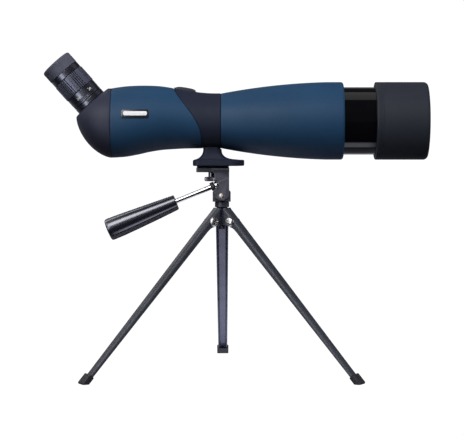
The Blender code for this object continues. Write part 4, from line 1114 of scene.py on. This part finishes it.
def tilt_head():
    side = [(-10.6, 202.0), (-10.6, 200.4), (-7.8, 197.0), (-7.8, 176.0)]
    side += arc(-0.3, 175.4, 7.5, 189, 351, 18, height=6.0)
    side += [(7.2, 176.0), (7.2, 202.0)]
    obj = raw("tilt_head_surface", slab(side, -CHEEK_OUT, CHEEK_OUT, 0.6))
    arch = [(-14.0, 163.0), (-14.0, PIN_Z - 1.0)]
    arch += arc(PIN_X, PIN_Z, 10.3, 180, 0, 24)
    arch += [(14.0, PIN_Z - 1.0), (14.0, 163.0)]
    cut(obj, [raw("tool", slab(arch, -CHEEK_IN, CHEEK_IN, 0.0, 1)),
              box_tool(-30.0, -3.3, -CHEEK_IN - 0.01, CHEEK_IN + 0.01, 188.9, 204.0)])
    # pressed swelling of both cheeks round the pin, with a slanted upper edge
    swell = [(-4.2, 188.7), (6.75, 192.6), (6.75, 176.2)]
    swell += arc(-0.3, 175.6, 7.05, 350, 190, 16, height=5.6)
    swell += [(-7.35, 176.2), (-7.35, 180.0), (-5.4, 181.4), (-3.9, 184.6)]
    # folded upper lip of the two cheeks
    lip = rounded([(-10.4, 200.6), (7.0, 200.6), (7.0, 202.35), (-10.4, 202.35)], 0.8, 4)
    parts = [raw("tool", cheek_panel(swell, 0.75, 0.4, 0.75, sign)) for sign in (-1, 1)]
    parts.append(raw("tool", cushion_plate(-25.6, 7.3, 9.8, 1.8, 198.3, 202.7, 0.5)))
    parts += [raw("tool", cheek_panel(lip, 0.35, 0.5, 0.35, sign)) for sign in (-1, 1)]
    cut(obj, parts, "UNION")
    # notch through both cheeks that shows the nuts on the rod
    notch = rounded([(-4.75, -5.9), (4.75, -5.9), (4.75, 9.0), (-4.75, 9.0)], 0.9, 4)
    recess = loft([[(x, y, z) for x, z in notch] for y in (-13.0, 13.0)])
    cut(obj, [drill(2.3, -14, 14, PIN_FRAME), drill(2.35, -15.6, 8.0, ROD_FRAME),
              raw("tool", recess, ROD_FRAME), drill(3.45, -8, 8, upright(SCREW_X, 201.0))])
    dress(obj, "head_black", angle=30)

    # fold line above the swelling
    fold = [(-3.9, 188.35), (6.85, 192.15), (6.5, 193.15), (-4.25, 189.35)]
    for side_name, sign in (("near", -1), ("far", 1)):
        dress(raw("cheek_fold_" + side_name, cheek_panel(fold, 0.62, 0.3, 0.45, sign)),
              "head_black", "tilting_head", angle=50)

    pad = raw("platform_pad_surface", cushion_plate(-25.0, 6.9, 9.4, 1.6, 203.0, 204.25, 0.2))
    cut(pad, [drill(3.6, -5, 5, upright(SCREW_X, 203.5))])
    dress(pad, "pad_rubber")


def camera_screw():
    def knurl(angle, radius, station):
        if radius < 6.3:
            return 0.0
        turn = (angle * 44 / (2 * math.pi)) % 1.0
        return -0.38 * (1 - abs(2 * turn - 1)) if 189.9 < station < 192.8 else -0.10

    turned("camera_screw_surface",
           [(0, 189.5), (3.4, 189.5), (3.8, 189.2), (6.1, 189.2), (6.8, 189.95), (6.8, 192.75),
            (6.1, 193.4), (3.3, 193.4), (2.75, 193.9), (2.75, 197.8), (3.0, 198.2),
            (3.0, 210.6), (2.4, 211.2), (0, 211.2)],
           "knurled_steel", upright(SCREW_X), segments=44 * 6, rounding=0.2, ripple=knurl)
    turned("camera_screw_shank",
           [(2.78, 193.95), (2.95, 193.95), (2.95, 197.6), (2.78, 197.6)],
           "knurled_steel", upright(SCREW_X), "clamp_screw", segments=64, rounding=0)


def tilt_pin():
    """Slotted pin through both cheeks, with its nut and washer."""
    outline = [(0, -12.35), (0.9, -12.3), (1.8, -12.05), (2.5, -11.6), (2.8, -11.2),
               (2.8, -10.55), (1.95, -10.55), (1.95, 13.4), (0, 13.4)]
    pin = raw("tilt_pin_surface", lathe(rounded(outline, 0.12), 72), PIN_FRAME)
    slot_frame = upright(PIN_X, PIN_Z) @ Matrix.Rotation(math.radians(14), 4, "Y")
    cut(pin, [box_tool(-0.28, 0.28, -13.5, -11.75, -4, 4, slot_frame)])
    dress(pin, "pin_plate")
    nut("tilt_nut_surface", PIN_FRAME, 3.7, 2.3, 10.6, 12.9)
    turned("tilt_pin_washer", [(3.7, -10.55), (3.7, -10.25), (2.9, -10.25), (2.9, -10.55)],
           "knurled_steel", PIN_FRAME, "tilting_head", segments=64, rounding=0)


def pan_pieces():
    side = [(-9.3, 168.9), (-9.3, 178.4), (-8.6, 179.2)]
    side += arc(PIN_X, PIN_Z, 9.3, 150, 30, 20)
    side += [(8.0, 179.2), (8.7, 178.4), (8.7, 168.9)]
    base = raw("pan_base_surface", slab(side, -6.95, 6.95, 0.6))
    cut(base, [drill(2.3, -14, 14, PIN_FRAME), drill(2.3, 160, 171.6, upright())])
    dress(base, "head_black", angle=30)

    bolt = raw("pan_bolt_surface", hexagon(3.75, 141.3, 143.8))
    shank = raw("tool", lathe(rod_outline(1.95, 143.5, 171.3, 0.3), 48))
    cut(bolt, [shank], "UNION")
    dress(bolt, "head_black")
    turned("pan_washer_surface", [(3.5, 144.1), (3.5, 144.8), (2.3, 144.8), (2.3, 144.1)],
           "head_black", upright(), segments=64, rounding=0.15)


# ---------------------------------------------------------------------- handle
# Grip tables: station along the rod, then the radius or reach from its axis.
GRIP_BODY = (
    (39.9, 5.2), (40.1, 5.6), (40.5, 5.8), (44.0, 6.0), (48.0, 6.2), (60.0, 6.8),
    (72.0, 7.4), (82.0, 7.95), (92.0, 8.4), (98.0, 8.65), (104.0, 8.8), (109.6, 8.85),
    (112.0, 8.75), (113.2, 8.35), (113.8, 7.6), (114.15, 6.5), (114.38, 5.0), (114.5, 2.9))
GRIP_KEEL = (
    (39.9, 7.5), (40.1, 8.0), (40.6, 8.4), (42.2, 8.75), (63.0, 10.3), (84.0, 11.6),
    (100.0, 12.4), (110.6, 12.55), (112.4, 12.35), (113.3, 11.7), (113.8, 10.6),
    (114.15, 8.9), (114.38, 6.4), (114.5, 3.3))
GRIP_CREST = (
    (39.9, 6.0), (40.1, 6.4), (40.6, 6.7), (48.0, 7.1), (72.0, 8.3), (92.0, 9.25),
    (101.0, 9.6), (110.6, 9.8), (112.4, 9.6), (113.3, 9.0), (113.8, 8.1), (114.15, 6.9),
    (114.38, 5.3), (114.5, 3.2))
KEEL_HALF, CREST_HALF = 1.9, 2.1           # half thicknesses


def grip_ring(station, groove):
    """Section of the grip: round body, slotted keel below, crest above."""
    radius, steps = level(GRIP_BODY, station), 40
    keel_root = math.sqrt(radius * radius - KEEL_HALF * KEEL_HALF)
    crest_root = math.sqrt(radius * radius - CREST_HALF * CREST_HALF)
    keel = max(level(GRIP_KEEL, station), keel_root + 0.06)
    crest = max(level(GRIP_CREST, station) - groove, crest_root + 0.06)
    keel_edge = min(0.35, (keel - keel_root) * 0.3)
    crest_edge = min(0.3, (crest - crest_root) * 0.3)
    slot = 0.6 if 44.0 < station < 89.0 else 0.0
    flank = keel - keel_edge - keel_root
    slot0 = min(max(8.6 + (station - 38.0) * 0.0314, keel_root + flank * 0.15),
                keel_root + flank * 0.4)
    slot1 = min(slot0 + 0.75, keel - keel_edge - flank * 0.1)
    slot1 = max(slot1, slot0 + (keel - keel_edge - slot0) * 0.3)
    slope = (slot1 - slot0) * 0.08
    # local x is written downwards here and turned over at the end
    near = [(keel_root, KEEL_HALF), (slot0, KEEL_HALF), (slot0 + slope, KEEL_HALF - slot),
            (slot1 - slope, KEEL_HALF - slot), (slot1, KEEL_HALF),
            (keel - keel_edge, KEEL_HALF), (keel - 0.3 * keel_edge, KEEL_HALF - 0.3 * keel_edge),
            (keel, KEEL_HALF - keel_edge)]
    points = [(x, -y) for x, y in near] + near[::-1]
    start = math.asin(KEEL_HALF / radius)
    end = math.pi - math.asin(CREST_HALF / radius)
    angles = [start + (end - start) * i / steps for i in range(1, steps)]
    points += [(radius * math.cos(a), radius * math.sin(a)) for a in angles]
    top = [(-crest_root, CREST_HALF), (-(crest - crest_edge), CREST_HALF),
           (-(crest - 0.3 * crest_edge), CREST_HALF - 0.3 * crest_edge),
           (-crest, CREST_HALF - crest_edge)]
    points += top + [(x, -y) for x, y in top[::-1]]
    points += [(radius * math.cos(a), -radius * math.sin(a)) for a in angles[::-1]]
    return [(-x, y, station) for x, y in points]


def handle_grip():
    stations = {row[0] for row in GRIP_BODY + GRIP_KEEL + GRIP_CREST}
    marks = [(station, 0.0) for station in stations | {43.9, 44.1, 88.9, 89.1}]
    for i in range(35):                    # cross grooves on the crest
        start = 46.0 + 1.8 * i
        marks = [mark for mark in marks if not start - 0.06 <= mark[0] <= start + 0.76]
        marks += [(start - 0.05, 0.0), (start + 0.1, 0.16), (start + 0.6, 0.16),
                  (start + 0.75, 0.0)]
    rings = [grip_ring(station, groove) for station, groove in sorted(marks)]
    grip = raw("handle_grip_surface", loft(rings), ROD_FRAME)
    bore = [(0, 37.0), (2.85, 37.0), (2.85, 100.6), (0, 101.0)]
    cut(grip, [raw("tool", lathe(bore, 48), ROD_FRAME)])
    dress(grip, "grip_plastic", angle=30)


def handle():
    thread = [(1.95, -14.6)]
    station = -14.2
    while station < -0.9:
        thread += [(2.0, station), (1.65, station + 0.35)]
        station += 0.7
    turned("handle_rod_surface",
           [(0, -15.0), (1.5, -15.0)] + thread
           + [(1.95, -0.4), (2.5, 0.0), (2.5, 50.0), (2.5, 100.0), (0, 100.0)],
           "bright_steel", ROD_FRAME, segments=72, rounding=0.1)
    nut("handle_jam_nut", ROD_FRAME, 4.35, 2.15, -5.6, -2.4, "handle")

    def flutes(angle, radius, station):
        if radius > 3.6 and -1.8 < station < 2.0:
            return -0.25 * (0.5 + 0.5 * math.cos(16 * angle))
        return 0.0

    turned("handle_lock_nut_surface",
           [(2.6, -1.9), (4.0, -1.9), (4.4, -1.5), (4.4, 1.8), (4.0, 2.3), (2.6, 2.3)],
           "head_black", ROD_FRAME, segments=160, rounding=0.25, ripple=flutes)
    handle_grip()


# ---------------------------------------------------------------- hub and legs
# Leg channel: station from the pivot, width, outer face, lower edge.
LEG_STATIONS = (
    (-14.0, 12.8, 4.9, 2.3), (-12.6, 12.8, 5.2, 1.8), (-8.0, 12.8, 5.2, -1.2),
    (-4.6, 12.8, 5.2, -3.2), (-2.3, 12.8, 5.2, -4.3), (0.6, 12.8, 5.2, -4.7),
    (3.4, 12.7, 5.2, -4.0), (7.0, 12.7, 5.2, -2.2), (12.0, 12.6, 5.2, -1.6),
    (203.7, 9.6, 3.8, -0.2))
LEG_WALL = 1.0


def tripod_hub():
    outline = [(0, 145.2), (3.9, 145.2), (4.1, 145.6), (4.1, 160.0), (5.0, 161.8),
               (5.0, 162.9), (7.15, 163.5), (7.15, 168.1), (6.7, 168.6), (0, 168.6)]
    obj = raw("tripod_hub_surface", lathe(rounded(outline, 0.25)))
    lug = [(0.5, 146.0), (3.5, 145.4)] + arc(PIVOT_R, PIVOT_Z, 3.4, -108, 60, 16)
    lug += [(4.0, 162.6), (0.5, 162.6)]
    lugs, holes = [], [drill(2.3, 140, 175, upright())]
    for _, azimuth in LEG_AZIMUTHS:
        skin = slab(lug, -4.2, 4.2, 0.45)
        bmesh.ops.rotate(skin, cent=(0, 0, 0), verts=skin.verts,
                         matrix=turn_z(azimuth).to_3x3())
        lugs.append(raw("tool", skin))
        pin_hole = turn_z(azimuth) @ frame_along((PIVOT_R, 0, PIVOT_Z), (0, 1, 0))
        holes.append(drill(2.2, -9, 9, pin_hole))
    cut(obj, lugs, "UNION")
    cut(obj, holes)
    dress(obj, "head_black", angle=30)


def leg_point(along, across, out):
    """Point in the pivot's frame from a station down the leg and an offset outwards."""
    lean = math.radians(LEG_ANGLE)
    return (along * math.sin(lean) + out * math.cos(lean), across,
            out * math.sin(lean) - along * math.cos(lean))


def leg_section(width, outer, lower):
    """Channel open below, as (across, out) points with rolled lower edges."""
    def path(wide, top, radius):
        points = [(wide / 2, lower + 0.3)]
        points += arc(wide / 2 - radius, top - radius, radius, 0, 90, 8)
        return points + [(-x, y) for x, y in points[::-1]]

    radius = min(3.6, (outer - lower) * 0.9) if outer - lower > 3 else 2.4
    outside = path(width, outer, radius)
    inside = path(width - 2 * LEG_WALL, outer - LEG_WALL, radius - LEG_WALL * 0.9)
    middle = (width - LEG_WALL) / 2
    return (outside + [(-middle - 0.2, lower), (-middle + 0.2, lower)]
            + inside[::-1] + [(middle - 0.2, lower), (middle + 0.2, lower)])


def leg_mesh():
    bend = LEG_STATIONS[:9]                # curved part of the lower edge
    stations = [-14.0 + 26.0 * i / 39 for i in range(40)]
    stations += [12.0 + 191.7 * i / 40 for i in range(1, 41)]
    rings = []
    for along in stations:
        width, outer, lower = (level(LEG_STATIONS, along, column) for column in (1, 2, 3))
        if along < 12.0:
            lower = curve([row[0] for row in bend], [row[3] for row in bend], along)
        rings.append([leg_point(along, across, out)
                      for across, out in leg_section(width, outer, lower)])
    skin = loft(rings, caps=False)
    skin.verts.ensure_lookup_table()
    count = len(rings[0])
    half = (count - 4) // 2
    # close both ends with strips between the outside and the inside of the channel
    for base, flip in ((0, False), (count * (len(rings) - 1), True)):
        ring = [skin.verts[base + i] for i in range(count)]
        outside, inside = ring[:half], ring[half + 2:count - 2]
        faces = [(outside[i], inside[half - 1 - i], inside[half - 2 - i], outside[i + 1])
                 for i in range(half - 1)]
        faces.append((outside[-1], inside[0], ring[half + 1], ring[half]))
        faces.append((inside[-1], outside[0], ring[count - 1], ring[count - 2]))
        for face in faces:
            skin.faces.new(face[::-1] if flip else face)
    return skin


def leg_block(levels, out0, out1, half, radius, steps):
    """Rounded block along the leg; levels are (station, growth)."""
    return loft([[leg_point(along, y, out) for out, y, _ in
                  rounded_rect(out0 - grow, out1 + grow, half + grow, radius, 0.0, steps)]
                 for along, grow in levels])


def shoe_mesh():
    """Rubber shoe cut flat on the floor."""
    levels = ((197.5, -0.9), (197.7, -0.35), (198.2, 0.0), (208.7, 0.0), (209.4, -0.3),
              (209.8, -1.0))
    skin = leg_block(levels, -1.45, 5.25, 6.15, 1.8, 6)
    trim(skin, (0, 0, FLOOR_Z - PIVOT_Z), (0, 0, -1))
    return skin


def leg_screw(name, matrix):
    """Domed pivot screw with a flared cross recess."""
    outline = [(0, 9.5), (1.4, 9.45), (2.8, 9.15), (3.9, 8.55), (4.6, 7.8), (4.85, 7.1),
               (4.85, 6.75), (1.9, 6.75), (1.9, -8.6), (0, -8.6)]
    screw = raw(name, lathe(rounded(outline, 0.15), 72), matrix)
    for turn in (20.0, 110.0):
        wedge = loft([rectangle(-0.9, 0.9, -0.25, 0.25, 7.6),
                      rectangle(-2.7, 2.7, -0.5, 0.5, 10.0)])
        cut(screw, [raw("tool", wedge, matrix @ turn_z(turn))])
    dress(screw, "nickel_plate", angle=34)


def legs():
    for name, azimuth in LEG_AZIMUTHS:
        pivot = turn_z(azimuth) @ upright(PIVOT_R, PIVOT_Z)
        leg = raw(f"leg_{name}_surface", leg_mesh(), pivot)
        cut(leg, [drill(2.2, -9, 9, pivot @ frame_along((0, 0, 0), (0, 1, 0)))])
        # the rear leg takes the brighter copy of the lacquer: painted light
        dress(leg, "leg_lacquer_sheen" if name == "rear" else "leg_lacquer", angle=32)
        foot = raw(f"foot_{name}_surface", shoe_mesh(), pivot)
        pocket = leg_block(((191.1, 0.0), (204.2, 0.0)), -0.6, 4.25, 5.2, 1.2, 4)
        cut(foot, [raw("tool", pocket, pivot)])
        dress(foot, "shoe_rubber", angle=32)
        side = -1.0 if name == "right" else 1.0
        screw_frame = pivot @ frame_along((0, 0, 0), (0, side, 0))
        leg_screw(f"leg_screw_{name}_surface", screw_frame)
        nut(f"leg_nut_{name}_surface", screw_frame, 3.8, 2.25, -8.3, -6.75)


# ------------------------------------------------------------- stage and light
# Brightness other surfaces see: floor before and behind the scope, a strip under
# the objective and a patch under the tripod.
FLOOR_FRONT, FLOOR_BEHIND, FLOOR_STRIP, FLOOR_PATCH = 0.012, 0.11, 0.85, 1.25
# Softboxes round the tube: name, azimuth and elevation in degrees (azimuth 0 is the
# camera's side), distance, width, height, radiance, the visibility turned off.
PANELS = (
    # beside the camera, clear of what the level barrel mirrors
    ("strip_left", -25, 34, 2100, 1100, 1400, 4.7, None),
    ("strip_right", 35, 34, 2100, 1100, 1400, 5.0, "visible_glossy"),
    ("side_left", -68, 34, 1900, 600, 900, 2.6, None),
    # fill for the far side
    ("back_left", -138, 36, 2100, 1000, 1000, 2.4, None),
    ("back_right", 140, 36, 2100, 1000, 1000, 2.4, "visible_glossy"),
    # weak card under the camera, mirrored by the flat side of the grip
    ("low_card", -3.6, -3.0, 2050, 130, 260, 0.80, "visible_diffuse"),
    # fill for the two ends
    ("front_end", 98, 8, 2000, 700, 700, 2.4, None),
    ("eye_end", -100, 24, 2000, 600, 900, 1.2, None),
)
PANEL_AIM = Vector((10.0, 0.0, 249.0))
VIEW_FROM, VIEW_X, VIEW_Z = 1800.0, 10.0, 253.3    # camera: distance from Y = 0, place
VIEW_DROP = 100.5          # fall of the camera's sight line down to Y = 0
VIEW_WIDTH, VIEW_ZOOM = 464.0, 1.0025              # width in view, slight enlargement
SENSOR_WIDTH = 36.0


def world():
    """White for the camera; dim for all else, brighter behind the scope."""
    sky = bpy.data.worlds.new("studio")
    bpy.context.scene.world = sky
    sky.use_nodes = True
    graph = Nodes(sky.node_tree)
    graph.tree.nodes.clear()
    away = graph.split(graph.node("NewGeometry").outputs["Incoming"])[1]
    glow = graph.span(away, between=(-0.80, -0.96), to=(0.028, 0.35))
    dim = graph.node("Background", {"Color": (0.93, 0.95, 1.0, 1.0), "Strength": glow})
    shown = graph.node("Background", {"Color": (1.0, 1.0, 1.0, 1.0), "Strength": 1.05})
    graph.node("OutputWorld",
               {"Surface": graph.camera_switch(dim.outputs[0], shown.outputs[0])})


def floor_material():
    """Clear to the camera, so that a leg folded below the floor still shows
    against the backdrop; other surfaces see a glow that varies over the floor."""
    material = bpy.data.materials.new("pale_floor")
    material.use_nodes = True
    graph = Nodes(material.node_tree)
    graph.tree.nodes.clear()
    position = graph.split(graph.node("NewGeometry").outputs["Position"])

    def step(axis, start, end, low, high):
        shift = BASE.translation[axis]
        return graph.span(position[axis], (shift + start * MILLI, shift + end * MILLI),
                          (low, high))

    def product(first, *others):
        for other in others:
            first = graph.times(first, other)
        return first

    # axis (0 is X, 1 is Y), start, end, value before, value after
    strip = product(step(1, -84, -54, 0.0, FLOOR_STRIP), step(1, 0, 46, 1.0, 0.0),
                    step(0, 112, 128, 0.0, 1.0), step(0, 160, 176, 1.0, 0.0))
    behind = graph.plus(step(1, 36, 60, FLOOR_FRONT, FLOOR_BEHIND),
                        step(1, 240, 420, 0.0, 0.30))
    patch = product(step(1, -60, -5, 0.0, FLOOR_PATCH), step(0, -70, -45, 0.0, 1.0),
                    step(0, 45, 70, 1.0, 0.0), step(1, 110, 200, 1.0, 0.0))
    strength = graph.plus(graph.plus(strip, behind), patch)
    glow = graph.node("Emission", {"Color": (0.82, 0.84, 1.0, 1.0), "Strength": strength})
    clear = graph.node("BsdfTransparent")
    graph.node("OutputMaterial",
               {"Surface": graph.camera_switch(glow.outputs[0], clear.outputs[0])})
    return material


def floor():
    skin = bmesh.new()
    bmesh.ops.create_grid(skin, x_segments=24, y_segments=24, size=4.0)
    mesh = bpy.data.meshes.new("studio_floor")
    skin.to_mesh(mesh)
    skin.free()
    obj = bpy.data.objects.new("studio_floor", mesh)
    bpy.context.scene.collection.objects.link(obj)
    obj.location = (0, 0, -0.0004)
    mesh.materials.append(floor_material())


def area(name, place, aim, width, height, radiance, colour=(1.0, 1.0, 1.0), hidden=None):
    """Softbox of the given radiance; hidden names the visibility to turn off."""
    light = bpy.data.lights.new(name, "AREA")
    light.shape = "RECTANGLE"
    light.size = width * MILLI
    light.size_y = height * MILLI
    light.energy = radiance * math.pi * light.size * light.size_y
    light.color = colour
    obj = bpy.data.objects.new(name, light)
    bpy.context.scene.collection.objects.link(obj)
    place, aim = (BASE @ Vector([value * MILLI for value in point]) for point in (place, aim))
    obj.location = place
    obj.rotation_mode = "QUATERNION"
    obj.rotation_quaternion = (aim - place).to_track_quat("-Z", "Y")
    obj.visible_camera = False
    if hidden:
        setattr(obj, hidden, False)


def lights():
    # overhead box: the grey band along the gloss barrel
    area("top_softbox", place=(20, 70, 1150), aim=(20, 30, 249), width=1500, height=620,
         radiance=0.34)
    for name, azimuth, elevation, distance, width, height, radiance, hidden in PANELS:
        around, up = math.radians(azimuth), math.radians(elevation)
        direction = Vector((math.sin(around) * math.cos(up), -math.cos(around) * math.cos(up),
                            math.sin(up)))
        area(name, PANEL_AIM + direction * distance, PANEL_AIM, width, height, radiance,
             hidden=hidden)
    # low reflector that only shows as a highlight along the eyepiece
    area("low_left", place=(-480, -690, 45), aim=(-170, -160, 290), width=300, height=620,
         radiance=5.5, colour=(0.86, 0.88, 1.0), hidden="visible_diffuse")


def camera():
    data = bpy.data.cameras.new("studio_camera")
    data.sensor_width = SENSOR_WIDTH
    pitch = math.atan(VIEW_DROP / VIEW_FROM)
    data.lens = VIEW_FROM * math.cos(pitch) / VIEW_WIDTH * SENSOR_WIDTH * VIEW_ZOOM
    data.clip_start = 0.05
    data.clip_end = 30.0
    obj = bpy.data.objects.new("studio_camera", data)
    bpy.context.scene.collection.objects.link(obj)
    obj.location = BASE @ Vector((VIEW_X * MILLI, -VIEW_FROM * MILLI, VIEW_Z * MILLI))
    obj.rotation_euler = (math.pi / 2 - pitch, 0.0, 0.0)
    bpy.context.scene.camera = obj


def view():
    settings = bpy.context.scene.view_settings
    settings.view_transform = "Standard"
    settings.look = "None"
    settings.exposure = 0.0
    settings.gamma = 1.0


# -------------------------------------------------------------------- assemble
# CAD nodes that keep their own mesh, by finish.
KEPT = {
    "inner_glass": ("roof_prism", "focus_lens", "zoom_lens_upper", "zoom_lens_lower"),
    "anodised_black": ("prism_holder", "focus_carriage", "zoom_cam_sleeve",
                       "zoom_cell_upper", "zoom_cell_lower"),
    "bright_steel": ("prism_clip", "focus_guide_rod", "focus_screw"),
    "insert_brass": ("foot_thread_insert",),
    "black_felt": ("hood_slide_ring", "light_baffle"),
}

materials()
rear_shell()
gaskets()
saddle()
prism_housing()
front_shell()
objective()
lens_hood()
name_badge()
eyepiece()
zoom_numbers()
focus_drive()
tilt_head()
camera_screw()
tilt_pin()
pan_pieces()
handle()
tripod_hub()
legs()
for finish, nodes in KEPT.items():
    for node in nodes:
        kept = packed["nodes"][node].data.materials
        kept.clear()
        kept.append(FINISHES[finish])
view()
world()
floor()
lights()
camera()

bpy.context.view_layer.update()
